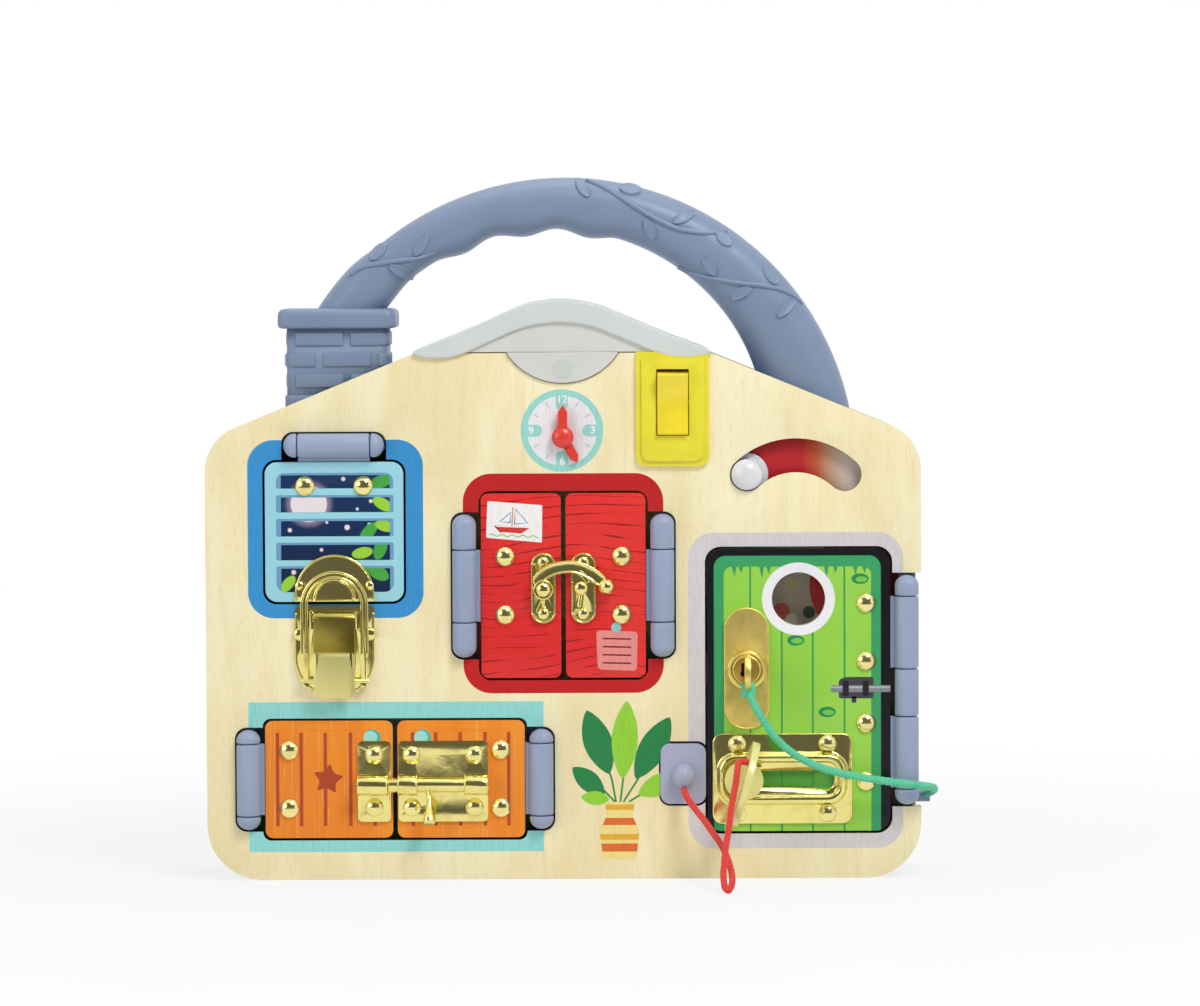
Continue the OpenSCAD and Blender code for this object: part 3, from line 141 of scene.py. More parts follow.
class Paint:  # one material with its shader
    def __init__(self, name, **constants):
        self.material = bpy.data.materials.new(name)
        self.material.use_nodes = True
        self.tree = self.material.node_tree
        self.shader = self.tree.nodes["Principled BSDF"]
        for key, value in constants.items():
            self.shader.inputs[key.replace("_", " ")].default_value = value
        self.saved = {}

    def node(self, kind, settings=None, inputs=None, out=0):
        made = self.tree.nodes.new(kind)
        for key, value in (settings or {}).items():
            if key == "stops":
                while len(made.color_ramp.elements) < len(value):
                    made.color_ramp.elements.new(0.5)
                for element, (place, colour) in zip(made.color_ramp.elements, value):
                    element.position = place
                    element.color = colour
            else:
                setattr(made, key, value)
        for key, value in (inputs or {}).items():
            if isinstance(value, Wire):
                self.tree.links.new(value.socket, made.inputs[key])
            else:
                made.inputs[key].default_value = value
        return Wire(self, made.outputs[out])

    def use(self, **wires):
        for key, wire in wires.items():
            self.tree.links.new(wire.socket, self.shader.inputs[key.replace("_", " ")])
        return self.material

    def place(self):
        if "place" not in self.saved:
            raw = self.node("ShaderNodeTexCoord", out=3)
            self.saved["place"] = self.node("ShaderNodeVectorMath", {"operation": "MULTIPLY"},
                                            {0: raw, 1: (1000, 1000, 1000)})
        return self.saved["place"]

    def axes(self):
        if "axes" not in self.saved:
            self.saved["axes"] = [self.node("ShaderNodeSeparateXYZ", None, {0: self.place()}, out=i)
                                  for i in range(3)]
        return self.saved["axes"]

    def facing(self, axis):
        normal = self.node("ShaderNodeTexCoord", out=1)
        return self.node("ShaderNodeSeparateXYZ", None, {0: normal}, out=axis)

    def cloud(self, stretch, detail=3, rough=0.5, warp=0.0, shift=0.0):
        # stretch is one number, or one for each axis
        stretch = stretch if isinstance(stretch, tuple) else (stretch,) * 3
        spread = self.node("ShaderNodeVectorMath", {"operation": "MULTIPLY_ADD"},
                           {0: self.place(), 1: stretch, 2: (shift, shift, shift)})
        return self.node("ShaderNodeTexNoise", None,
                         {"Vector": spread, "Scale": 1.0, "Detail": detail, "Roughness": rough,
                          "Distortion": warp})

    def mix(self, factor, first, second):
        return self.node("ShaderNodeMix", {"data_type": "RGBA"}, {0: factor, 6: first, 7: second}, out=2)

    def step(self, wire, start, end, low=0.0, high=1.0):
        return self.node("ShaderNodeMapRange", {"interpolation_type": "SMOOTHSTEP"},
                         {0: wire, 1: start, 2: end, 3: low, 4: high})

    def ramp(self, wire, stops):
        return self.node("ShaderNodeValToRGB", {"stops": stops}, {0: wire})

    def bump(self, height, depth):
        # depth in millimetres
        return self.node("ShaderNodeBump", None,
                         {"Strength": 1.0, "Distance": depth * mm, "Height": height})

    def grained(self, colour, grain, low, high, depth, end=0.7):
        # one grain gives the roughness, from low to high, and the bump
        return self.use(Base_Color=colour, Roughness=self.step(grain, 0.3, end, low, high),
                        Normal=self.bump(grain, depth))


def boxField(x, z, box):
    # distance to a round rectangle given as middle, size and corner radius, below zero inside
    cx, cz, w, h, r = box
    px = abs(x - cx) - (w / 2 - r)
    pz = abs(z - cz) - (h / 2 - r)
    corner = (px.high(0) ** 2 + pz.high(0) ** 2) ** 0.5
    return corner + px.high(pz).low(0) - r


def discField(x, z, disc):
    cx, cz, r = disc
    return ((x - cx) ** 2 + (z - cz) ** 2) ** 0.5 - r


def leafField(x, z, leaf):
    # an oval, turned by an angle; below zero inside
    cx, cz, a, b, angle = leaf
    c, s = math.cos(math.radians(angle)), math.sin(math.radians(angle))
    u = (x - cx) * c + (z - cz) * s
    v = (z - cz) * c - (x - cx) * s
    return ((u / a) ** 2 + (v / b) ** 2) ** 0.5 * min(a, b) - min(a, b)


def inside(field, soft=0.15):
    return (0.5 - field / soft).clipped()


def joined(wires, operation="MAXIMUM"):
    # several masks as one, or with MINIMUM several fields
    total = None
    for wire in wires:
        total = wire if total is None else total.maths(operation, total, wire)
    return total


def dimmed(tone, *shares):
    return tuple(c * share for c, share in zip(tone, shares)) + (1,)


# finishes

wood = {"pale": rgb(252, 243, 204), "warm": rgb(246, 231, 182), "streak": rgb(230, 207, 150),
        "glue": rgb(150, 110, 66), "burnt": rgb(34, 22, 15), "veneers": 5, "panel": 6, "door": 5,
        "backOut": 26, "panelFront": (-25.4, -25.9), "doorFront": (-24.9, -25.6)}


def birch(paint):
    # long pale grain up the board with short flecks
    broad = paint.cloud((0.035, 0.035, 0.012), 3, 0.55, 0.6)
    flame = paint.cloud((0.22, 0.3, 0.022), 4, 0.6, 0.9, 4.0)
    fleck = paint.cloud((1.7, 1.7, 0.16), 3, 0.6, 0.0, 9.0)
    pale = paint.mix(paint.step(broad, 0.34, 0.68), wood["pale"], wood["warm"])
    flamed = paint.mix(paint.step(flame, 0.5, 0.78, 0, 0.3), pale, wood["streak"])
    return paint.mix(paint.step(fleck, 0.5, 0.76, 0, 0.42), flamed, wood["streak"]), fleck


def plyEdge(paint, colour, thickness, backOut):
    # thin veneers with glue lines, seen where a face doesn't look forward or back
    y = paint.axes()[1]
    layer = ((y + backOut) / (thickness / wood["veneers"])).part()
    crossed = paint.mix((layer < 0.5) * 0.35, wood["warm"], wood["streak"])
    glued = paint.mix(inside(abs(layer - 0.5) - 0.44, 0.1) * -0.5 + 0.5, crossed, wood["glue"])
    side = paint.step(abs(paint.facing(1)), 0.75, 0.5)
    return paint.mix(side, colour, glued), side


def woodSkin(paint, colour, fleck, rough=0.42):
    # low sheen that follows the flecks
    return paint.grained(colour, fleck, rough - 0.05, rough + 0.1, 0.05, 0.8)


def inked(paint, colour, mask, ink, fleck):
    # printed ink, through which the grain still shows a little
    printed = paint.mix(paint.step(fleck, 0.35, 0.75), ink, dimmed(ink, 0.88, 0.88, 0.88))
    return paint.mix(mask * 0.99, colour, printed)


boardPrint = {
    "windowBox": (-95.4, 147.6, 73.6, 74.8, 11), "windowInk": rgb(58, 152, 216),
    "redBox": (0, 124.45, 84, 92.3, 12), "redInk": rgb(202, 30, 36),
    "bandBox": (-70.5, 43.3, 123.9, 63.2, 0.2), "bandInk": rgb(152, 226, 222),
    "greyBox": (97.3, 79, 90.2, 132.9, 11), "greyInk": rgb(220, 216, 219),
    "dial": (-0.3, 188.5, 17.3), "face": (-0.3, 188.5, 14.6), "dialInk": rgb(158, 222, 212),
    "faceInk": rgb(241, 240, 243), "tabAt": 12.9, "tab": (9, 5.0, 2.4),
    # the gap round the cord block, painted dark: painted shade
    "blockGapShade": (50.2, 44.2, 20.8, 27.2, 4.9), "gap": rgb(24, 24, 30),
    # edges inside this box and roof are burnt cuts
    "cutBox": (0, 130, 293, 254, 20), "cutTop": 217, "cutRoof": (0.409, 241),
}


def panelPaint():
    b = boardPrint
    paint = Paint("panelPly", Specular_IOR_Level=0.14)
    x, y, z = paint.axes()
    colour, fleck = birch(paint)
    front = paint.step(y, *wood["panelFront"])
    for key in ("window", "red", "band", "grey"):
        mask = inside(boxField(x, z, b[key + "Box"])) * front
        colour = inked(paint, colour, mask, b[key + "Ink"], fleck)
    dial = inside(discField(x, z, b["dial"])) * front
    colour = inked(paint, colour, dial, b["dialInk"], fleck)
    cx, cz = b["dial"][:2]
    long, short, corner = b["tab"]
    at = b["tabAt"]
    tabs = joined(inside(boxField(x, z, tab + (corner,)))
                  for tab in ((cx, cz + at, short, long), (cx, cz - at, short, long),
                              (cx + at, cz, long, short), (cx - at, cz, long, short)))
    face = inside(discField(x, z, b["face"])) * front * (1 - tabs)
    colour = inked(paint, colour, face, b["faceInk"], fleck)
    # painted shade: the gap round the cord block is darkened on the panel's front face
    colour = paint.mix(inside(boxField(x, z, b["blockGapShade"])) * front, colour, b["gap"])
    edged, side = plyEdge(paint, colour, wood["panel"], wood["backOut"])
    slope, ridge = b["cutRoof"]
    cut = (boxField(x, z, b["cutBox"]) < 0) * (z < b["cutTop"]) * (z + abs(x) * slope < ridge)
    colour = paint.mix(side * cut * 0.96, edged, wood["burnt"])
    return woodSkin(paint, colour, fleck)


def plainPly(name):
    # the unprinted back
    paint = Paint(name, Specular_IOR_Level=0.25)
    colour, fleck = birch(paint)
    colour = plyEdge(paint, colour, wood["panel"], -wood["backOut"])[0]
    return woodSkin(paint, colour, fleck)


def doorPaint(name, drawing):
    # a printed front on a plywood door; drawing adds the inks
    paint = Paint(name, Specular_IOR_Level=0.25, Coat_Weight=0.06, Coat_Roughness=0.2)
    x, y, z = paint.axes()
    bare, fleck = birch(paint)
    bare = plyEdge(paint, bare, wood["door"], wood["backOut"])[0]
    front = paint.step(y, *wood["doorFront"])
    drawn = drawing(paint, x, z, fleck)
    return woodSkin(paint, paint.mix(front, bare, drawn), fleck, 0.33)


nightScene = {
    "flap": rgb(160, 218, 232), "slat": rgb(112, 166, 200), "sky": rgb(26, 56, 98), "dusk": rgb(20, 38, 78),
    "moon": (-106.5, 158.2, 7.6), "moonInk": rgb(240, 226, 230), "halo": rgb(214, 190, 214),
    "skyRun": (120, 172), "haloRun": (3.4, -0.5, 0, 0.45),
    "stars": ((-92, 168.6, 0.7), (-80.5, 159.3, 0.6), (-90.5, 148.3, 0.95), (-114.5, 147.2, 0.7),
              (-101.3, 138.9, 0.55), (-81.2, 149.6, 0.5), (-113, 129.5, 0.8), (-99, 150.4, 0.4),
              (-86.2, 156.0, 0.45), (-108.4, 168.2, 0.5), (-77.6, 127.2, 0.6)),
    "leaves": (  # middle, two half lengths, angle and ink
        (-76, 167.5, 5.2, 2.6, 20, 0), (-75.5, 158, 4.6, 2.4, -30, 1), (-81.5, 146.4, 5.0, 2.4, 48, 0),
        (-74.5, 148.8, 4.4, 2.3, -14, 1), (-84.2, 137.6, 4.4, 2.3, 12, 1), (-76.6, 139.4, 4.8, 2.6, 70, 0),
        (-78.0, 129.6, 5.4, 2.9, -32, 0), (-87.5, 125.6, 4.6, 2.3, 24, 1), (-115.4, 124.6, 4.2, 2.2, 50, 1)),
    "leafInks": (rgb(74, 172, 70), rgb(158, 216, 62)),
    "slots": ((167.9, 6.6), (158.25, 7.3), (148.25, 7.5), (138.25, 7.5), (126.6, 11)),  # middle, height
    "slotBox": (-95.65, 49.3, 0.9), "viewBox": (-95.4, 45.6, 0.3),  # middle, width, corner
    "viewIn": (0.45, 1.1), "room": (-95.65, 146.2, 49.3, 50.2, 4),
}


def flapDrawing(paint, x, z, fleck):
    s = nightScene
    sky = paint.mix(paint.step(z, *s["skyRun"]), s["dusk"], s["sky"])
    glow = paint.step(discField(x, z, s["moon"]), *s["haloRun"])
    sky = paint.mix(glow, sky, s["halo"])
    sky = paint.mix(inside(discField(x, z, s["moon"]), 0.3), sky, s["moonInk"])
    for star in s["stars"]:
        sky = paint.mix(paint.step(discField(x, z, star), 0.5, -0.2), sky, s["moonInk"])
    for leaf in s["leaves"]:
        sky = paint.mix(inside(leafField(x, z, leaf[:5]), 0.3), sky, s["leafInks"][leaf[5]])

    def openings(box, down, less):
        cx, width, corner = s[box]
        return joined(inside(boxField(x, z, (cx, middle - down, width, height - less, corner)))
                      for middle, height in s["slots"])
    slots, views = openings("slotBox", 0, 0), openings("viewBox", *s["viewIn"])
    room = inside(boxField(x, z, s["room"]))
    shown = inked(paint, s["flap"], slots * room, s["slat"], fleck)
    return paint.mix(views * room, shown, sky)


redDoor = {"ink": rgb(238, 58, 52), "deep": rgb(228, 46, 46), "line": rgb(150, 28, 36), "spacing": 4.1}


def redDrawing(paint, x, z, fleck):
    sway = paint.cloud((0.016, 0.01, 0.022), 1, 0.4, 0.0, 3.0)
    width = paint.cloud((0.06, 0.01, 0.6), 2, 0.5, 0.0, 7.0)
    tone = paint.cloud((0.012, 0.01, 0.02), 1, 0.4, 0.0, 1.0)
    base = paint.mix(paint.step(tone, 0.35, 0.65), redDoor["ink"], redDoor["deep"])
    row = (z / redDoor["spacing"] + sway * 5.5).part()
    line = inside(abs(row - 0.5) - paint.step(width, 0.36, 0.66, 0.0, 0.075), 0.05)
    return paint.mix(line * paint.step(width, 0.3, 0.44, 0.2, 0.95), base, redDoor["line"])


gateDoor = {"ink": rgb(250, 152, 46), "deep": rgb(243, 136, 38), "plank": rgb(186, 78, 42),
            "grain": rgb(250, 180, 104), "line": 0.75, "lineFrom": 22.6, "lineTo": 62,
            "boxes": ((-98.75, 42.3, 42.6, 41, 2.2), (-43.25, 42.3, 42.6, 41, 2.2)),
            "planks": (-120.4, -110.4, -100.3, -89.7, -79.4, -63.5, -53.9, -43.6, -33.2, -23.3)}


def gateDrawing(paint, x, z, fleck):
    g = gateDoor
    tone = paint.cloud((0.08, 0.01, 0.012), 2, 0.5, 0.3, 5.0)
    vein = paint.cloud((0.3, 0.01, 0.004), 2, 0.45, 0.1, 2.0)
    base = paint.mix(paint.step(tone, 0.35, 0.7), g["ink"], g["deep"])
    fine = inside(abs((vein * 9).part() - 0.5) - 0.035, 0.05)
    base = paint.mix(fine * 0.65, base, g["grain"])
    frames = joined((boxField(x, z, box) for box in g["boxes"]), "MINIMUM")
    base = paint.mix(inside(abs(frames) - 0.35, 0.3) * 0.55, base, g["deep"])
    lines = joined(inside(abs(x - place) - g["line"]) for place in g["planks"])
    return paint.mix(lines * (z > g["lineFrom"]) * (z < g["lineTo"]), base, g["plank"])


mainDoor = {"black": rgb(22, 23, 30), "rim": rgb(62, 165, 104), "leaf": rgb(152, 214, 76),
            "paleLeaf": rgb(160, 220, 84), "plank": rgb(52, 154, 90), "ring": (98.55, 117.5, 15.3),
            "ringInk": rgb(244, 243, 247), "planks": (78.3, 91.5, 104.5, 117.8), "line": 0.36,
            # slot and shade: a painted shadow inside the keyhole slot of the raised chain plate
            "slot": (93, 42.4, 44, 9.6, 4), "shade": rgb(56, 146, 58),
            "leafBox": (98.1, 60, 61.8, 142.2, 3.4), "greenBox": (98.05, 75, 70, 121.4, 5)}


def mainDrawing(paint, x, z, fleck):
    d = mainDoor
    tone = paint.cloud((0.02, 0.01, 0.02), 2, 0.4, 0.0, 8.0)
    base = paint.mix(paint.step(tone, 0.3, 0.7), d["leaf"], d["paleLeaf"])
    lines = joined(inside(abs(x - place) - d["line"]) for place in d["planks"])
    base = paint.mix(lines, base, d["plank"])
    # painted shade: the door inside the chain plate's slot is darkened green, as if shadowed by the raised
    # plate
    base = paint.mix(inside(boxField(x, z, d["slot"]), 1.2) * 0.8, base, d["shade"])
    base = paint.mix(inside(boxField(x, z, d["leafBox"])), d["rim"], base)
    base = paint.mix(inside(boxField(x, z, d["greenBox"])), d["black"], base)
    return paint.mix(inside(discField(x, z, d["ring"])), base, d["ringInk"])


def shellPaint(name, tone=rgb(130, 148, 176)):
    # satin moulded plastic with a very fine spark texture
    paint = Paint(name, IOR=1.46)
    grit = paint.cloud(9, 2, 0.6)
    broad = paint.cloud(0.03, 2, 0.5)
    colour = paint.mix(paint.step(broad, 0.3, 0.7), tone, dimmed(tone, 0.93, 0.94, 0.96))
    return paint.grained(colour, grit, 0.34, 0.46, 0.012)


plateBrass = rgb(242, 230, 146)


def pressed(paint):
    # the slight waves of pressed sheet, alone and with fine pits
    pits = paint.cloud(4.5, 2, 0.6)
    swell = paint.cloud(0.16, 2, 0.4, 0.3, 6.0)
    return swell, swell + pits * 0.03


def brassPaint(name, tone=plateBrass, rough=0.12, depth=0.088):
    # plated brass with a few duller patches
    paint = Paint(name, Metallic=1.0)
    relief = pressed(paint)[1]
    dull = paint.cloud(0.12, 4, 0.6, 0.4, 3.0)
    colour = paint.mix(paint.step(dull, 0.42, 0.72), tone, dimmed(tone, 0.93, 0.9, 0.82))
    shine = paint.step(dull, 0.35, 0.75, rough, rough + 0.1)
    return paint.use(Base_Color=colour, Roughness=shine, Normal=paint.bump(relief, depth))


# painted reflections on the latch lever: low and high are the dark reflection painted on the lid, tab the
# pale reflection painted on the turned-down tab
lever = {"mid": -95.9, "half": 8.6, "tabFrom": 97.2, "tabTo": 95.6, "lidFrom": 96, "lidTo": 114,
         "low": rgb(150, 134, 52), "high": rgb(196, 180, 92), "tab": rgb(250, 240, 158)}


def leverPaint():
    # painted reflections: the lid is duller and deeper in tone than the turned-down tab below it, a dark
    # reflection painted on the lid and a pale one on the tab
    t = lever
    paint = Paint("latchLeverBrass", Metallic=1.0)
    x, y, z = paint.axes()
    swell, relief = pressed(paint)
    tab = paint.step(z + swell * 1.2, t["tabFrom"], t["tabTo"])
    lidReflection = paint.mix(paint.step(z, t["lidFrom"], t["lidTo"]), t["low"], t["high"])
    lidReflection = paint.mix(inside(abs(x - t["mid"]) - t["half"], 0.8), plateBrass, lidReflection)
    colour = paint.mix(tab, lidReflection, t["tab"])
    return paint.use(Base_Color=colour, Roughness=tab * 0.18 + 0.26, Normal=paint.bump(relief, 0.06))


# slot and disc of the keyhole, painted black as painted shade of a hole
plug = {"slot": (75.15, 88.3, 1.5, 5.4, 0.6), "disc": (75.3, 86.4, 1.25), "pale": rgb(226, 192, 96),
        "deep": rgb(190, 154, 70), "black": rgb(26, 20, 14)}


def plugPaint():
    # turned face with the keyhole beside the key painted black: painted shade standing in for the depth of
    # the hole
    paint = Paint("plugBrass", Metallic=1.0)
    x, y, z = paint.axes()
    turned = paint.cloud((9, 0.6, 9), 3, 0.6)
    hole = inside(boxField(x, z, plug["slot"])).high(inside(discField(x, z, plug["disc"])))
    colour = paint.mix(paint.step(turned, 0.3, 0.7), plug["pale"], plug["deep"])
    return paint.grained(paint.mix(hole, colour, plug["black"]), turned, 0.3, 0.44, 0.01)


def brushedPaint(name, tone, rough=0.32):
    # drawn up and down with a fine brush
    paint = Paint(name, Metallic=1.0)
    hair = paint.cloud((14, 14, 0.5), 3, 0.6)
    broad = paint.cloud(0.2, 2, 0.5)
    colour = paint.mix(paint.step(broad, 0.3, 0.7), tone, dimmed(tone, 0.86, 0.84, 0.8))
    return paint.grained(colour, hair, rough - 0.06, rough + 0.1, 0.01)


def glossPaint(name, tone, rough=0.22):
    # glossy moulded plastic, with the slight waves of a moulding
    paint = Paint(name, Coat_Weight=0.3, Coat_Roughness=0.12)
    wave = paint.cloud(0.12, 2, 0.5)
    grit = paint.cloud(5, 2, 0.5)
    colour = paint.mix(paint.step(wave, 0.3, 0.7), tone, dimmed(tone, 0.94, 0.93, 0.9))
    return paint.grained(colour, grit, rough - 0.04, rough + 0.06, 0.006)


def frostPaint(name, tone, passing=0.06):
    # milky plastic that lets some light through
    paint = Paint(name, Transmission_Weight=passing, IOR=1.35)
    grit = paint.cloud(6, 2, 0.6)
    broad = paint.cloud(0.03, 2, 0.5)
    colour = paint.mix(paint.step(broad, 0.3, 0.7), tone, dimmed(tone, 0.95, 0.96, 0.96))
    return paint.grained(colour, grit, 0.42, 0.55, 0.01)


def inkPaint(name, tone):
    # a thin print on wood
    paint = Paint(name, Specular_IOR_Level=0.22)
    fleck = paint.cloud((1.7, 1.7, 0.16), 3, 0.6, 0.0, 9.0)
    colour = paint.mix(paint.step(fleck, 0.4, 0.75), tone, dimmed(tone, 0.9, 0.9, 0.9))
    return paint.grained(colour, fleck, 0.36, 0.5, 0.03, 0.8)


def cordPaint(name, tone, shade):
    # braided yarn: fine threads along each strand
    paint = Paint(name, Sheen_Weight=0.35, Sheen_Roughness=0.5)
    thread = paint.cloud(5.5, 3, 0.7)
    colour = paint.mix(paint.step(thread, 0.35, 0.7), shade, tone)
    return paint.grained(colour, thread, 0.7, 0.88, 0.09)


track = {"run": (74, 122), "fleck": rgb(60, 20, 20),
         "stops": [(0.0, rgb(206, 30, 40)), (0.58, rgb(206, 34, 42)), (0.76, rgb(212, 96, 54)),
                   (0.9, rgb(210, 168, 134)), (1.0, rgb(222, 206, 194))]}


def trackPaint():
    # printed arc under the slider, running from red to pale
    paint = Paint("trackPrint", Coat_Weight=0.2, Coat_Roughness=0.25)
    grain = paint.cloud(2, 2, 0.5)
    run = paint.ramp(paint.step(paint.axes()[0], *track["run"]), track["stops"])
    colour = paint.mix(paint.step(grain, 0.3, 0.7, 0, 0.12), run, track["fleck"])
    return paint.grained(colour, grain, 0.3, 0.42, 0.01)


picture = {
    "low": rgb(236, 214, 178), "high": rgb(150, 205, 232), "from": 100, "to": 180, "fleck": rgb(90, 80, 70),
    "scenes": [  # box, ground, and discs with their inks
        ((-95.9, 146.4, 68, 68, 2), rgb(46, 84, 142),
         [(-110, 132, 14, rgb(240, 224, 160)), (-80, 118, 20, rgb(52, 112, 96))]),
        ((0, 123.5, 79, 88, 2), rgb(250, 222, 150),
         [(-18, 96, 22, rgb(240, 150, 110)), (22, 92, 17, rgb(126, 190, 160))]),
        ((-71, 42.3, 119, 58, 2), rgb(178, 226, 236),
         [(-110, 2, 40, rgb(120, 190, 84)), (-44, -16, 58, rgb(96, 172, 80))]),
        ((98.6, 79.2, 86, 128, 2), rgb(208, 200, 184),
         [(128, 122, 24, rgb(224, 62, 66)), (70, 104, 17, rgb(72, 142, 160)),
          (92.2, 111, 3.6, rgb(226, 112, 84)), (96.4, 107.6, 2.5, rgb(240, 230, 206)),
          (96.2, 122.6, 2.8, rgb(214, 206, 150)), (103.8, 110.6, 2.6, rgb(58, 104, 88))])],
}


def picturePaint():
    # printed board behind the doors: plain skies, a meadow and a wall in soft colours
    paint = Paint("picturePrint", Coat_Weight=0.1, Coat_Roughness=0.4)
    x, y, z = paint.axes()
    paper = paint.cloud(1.2, 3, 0.6)
    base = paint.mix(paint.step(z, picture["from"], picture["to"]), picture["low"], picture["high"])
    for box, drawn, discs in picture["scenes"]:
        room = inside(boxField(x, z, box), 0.3)
        for *disc, ink in discs:
            drawn = paint.mix(inside(discField(x, z, disc), 0.3), drawn, ink)
        base = paint.mix(room, base, drawn)
    colour = paint.mix(paint.step(paper, 0.3, 0.7, 0, 0.1), base, picture["fleck"])
    return paint.grained(colour, paper, 0.4, 0.55, 0.01)


shell = shellPaint("shellPlastic")
brass = brassPaint("brassPlate")
darkBrass = brassPaint("brassDull", rgb(136, 104, 56), 0.32)
satinBrass = brushedPaint("brassSatin", rgb(252, 228, 132), 0.42)
screwBrass = brassPaint("brassScrew", rgb(244, 232, 156), 0.13, 0.016)
hingePlastic = shellPaint("hingePlastic", rgb(158, 172, 200))
blockPlastic = shellPaint("blockPlastic", rgb(176, 180, 206))
steel = brushedPaint("zincSteel", rgb(196, 198, 202), 0.28)
yellow = glossPaint("yellowPlastic", rgb(244, 232, 62))
coinYellow = glossPaint("coinYellow", rgb(238, 233, 150))
deepYellow = glossPaint("yellowRocker", rgb(254, 230, 48))
redPlastic = glossPaint("redPlastic", rgb(236, 62, 48), 0.3)
whitePlastic = glossPaint("whitePlastic", rgb(232, 232, 238), 0.2)
blackPlastic = shellPaint("blackPlastic", rgb(44, 44, 48))
frost = frostPaint("frostedLamp", rgb(222, 227, 226))
frostInner = frostPaint("frostedLens", rgb(226, 226, 220))
circuit = shellPaint("circuitBoard", rgb(36, 110, 62))
cellJacket = glossPaint("cellJacket", rgb(196, 152, 60))
redCordPaint = cordPaint("redCord", rgb(254, 78, 64), rgb(214, 34, 34))
greenCordPaint = cordPaint("greenCord", rgb(124, 242, 192), rgb(58, 182, 138))
print("finishes written")


# mesh helpers; every mesh is made in frame coordinates

def addPiece(name, body, mesh, *materials, slot=None, node=None):
    for material in materials:
        mesh.materials.append(material)
    piece = bpy.data.objects.new(name, mesh)
    bpy.context.scene.collection.objects.link(piece)
    if body:
        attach(piece, body)
    if node:
        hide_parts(node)
    return piece


def addShape(name, body, parts, material, slot, node=None):
    # a piece made of several parts
    return addPiece(name, body, meshFrom(name, parts), material, slot=slot, node=node)


def smoothMesh(mesh):
    mesh.polygons.foreach_set("use_smooth", [True] * len(mesh.polygons))
    mesh.update()


def joinedRings(rings, caps=True):
    # quads between closed rings of points, each ring with as many points
    count = len(rings[0])
    points = [p for ring in rings for p in ring]
    faces = []
    for k in range(len(rings) - 1):
        for i in range(count):
            j = (i + 1) % count
            faces.append((k * count + i, k * count + j, (k + 1) * count + j, (k + 1) * count + i))
    if caps:
        faces.append(tuple(reversed(range(count))))
        faces.append(tuple(range((len(rings) - 1) * count, len(points))))
    return points, faces


def meshFrom(name, parts):
    # a smooth mesh; parts is a list of points and faces
    points, faces = [], []
    for partPoints, partFaces in parts:
        base = len(points)
        points += [tuple(p) for p in partPoints]
        faces += [tuple(i + base for i in face) for face in partFaces]
    mesh = bpy.data.meshes.new(name)
    mesh.from_pydata(points, [], faces)
    turned = bmesh.new()
    turned.from_mesh(mesh)
    bmesh.ops.recalc_face_normals(turned, faces=turned.faces)
    turned.to_mesh(mesh)
    turned.free()
    smoothMesh(mesh)
    return mesh


def smoothLine(points, gap):
    # even steps along a smooth curve through the points
    def curve(a, b, c, d, t):
        return 0.5 * ((2 * b) + (c - a) * t + (2 * a - 5 * b + 4 * c - d) * t * t
                      + (3 * b - a - 3 * c + d) * t ** 3)
    fine = []
    for i in range(len(points) - 1):
        a, b, c = points[max(i - 1, 0)], points[i], points[i + 1]
        d = points[min(i + 2, len(points) - 1)]
        fine += [curve(a, b, c, d, k / 24) for k in range(24)]
    fine.append(points[-1])
    total = sum((q - p).length for p, q in zip(fine, fine[1:]))
    steps = max(2, round(total / gap))
    out, walked, index = [fine[0].copy()], 0.0, 0
    for k in range(1, steps):
        goal = total * k / steps
        while walked + (fine[index + 1] - fine[index]).length < goal:
            walked += (fine[index + 1] - fine[index]).length
            index += 1
        span = (fine[index + 1] - fine[index]).length
        out.append(fine[index].lerp(fine[index + 1], (goal - walked) / span))
    return out + [fine[-1].copy()]


def aheadAt(line, i):
    return (line[min(i + 1, len(line) - 1)] - line[max(i - 1, 0)]).normalized()


def lineFrames(line):
    # each point with two sides across the line, turning as little as they can
    frames = []
    side = None
    for i, point in enumerate(line):
        ahead = aheadAt(line, i)
        if side is None:
            side = ahead.orthogonal().normalized()
        side = (side - ahead * side.dot(ahead)).normalized()
        frames.append((point, side, ahead.cross(side)))
    return frames


def tube(line, radius, sides=10, swell=None, caps=True):
    rings = []
    for k, (point, side, up) in enumerate(lineFrames(line)):
        ring = []
        for i in range(sides):
            turn = 2 * math.pi * i / sides
            r = radius * (swell(k, turn) if swell else 1)
            ring.append(point + side * math.cos(turn) * r + up * math.sin(turn) * r)
        rings.append(ring)
    return joinedRings(rings, caps)


def lathe(centre, axis, profile, sides=48):
    # profile is a list of radius and distance along the axis, in millimetres
    side = axis.orthogonal().normalized()
    up = axis.cross(side)
    rings = []
    for radius, along in profile:
        r = max(radius, 0.004) * mm
        rings.append([centre + axis * along * mm + (side * math.cos(2 * math.pi * i / sides)
                      + up * math.sin(2 * math.pi * i / sides)) * r for i in range(sides)])
    return joinedRings(rings)


def addBevel(piece, width, segments=3, angle=35):
    bevel = piece.modifiers.new("softEdge", "BEVEL")
    bevel.width = width * mm
    bevel.segments = segments
    bevel.limit_method = "ANGLE"
    bevel.angle_limit = math.radians(angle)
    bevel.harden_normals = True
    bevel.miter_outer = "MITER_ARC"
    smoothMesh(piece.data)


def arcPoints(cx, cz, r, start, end, steps=24):
    turns = [math.radians(start + (end - start) * i / steps) for i in range(steps + 1)]
    return [(cx + r * math.cos(a), cz + r * math.sin(a)) for a in turns]


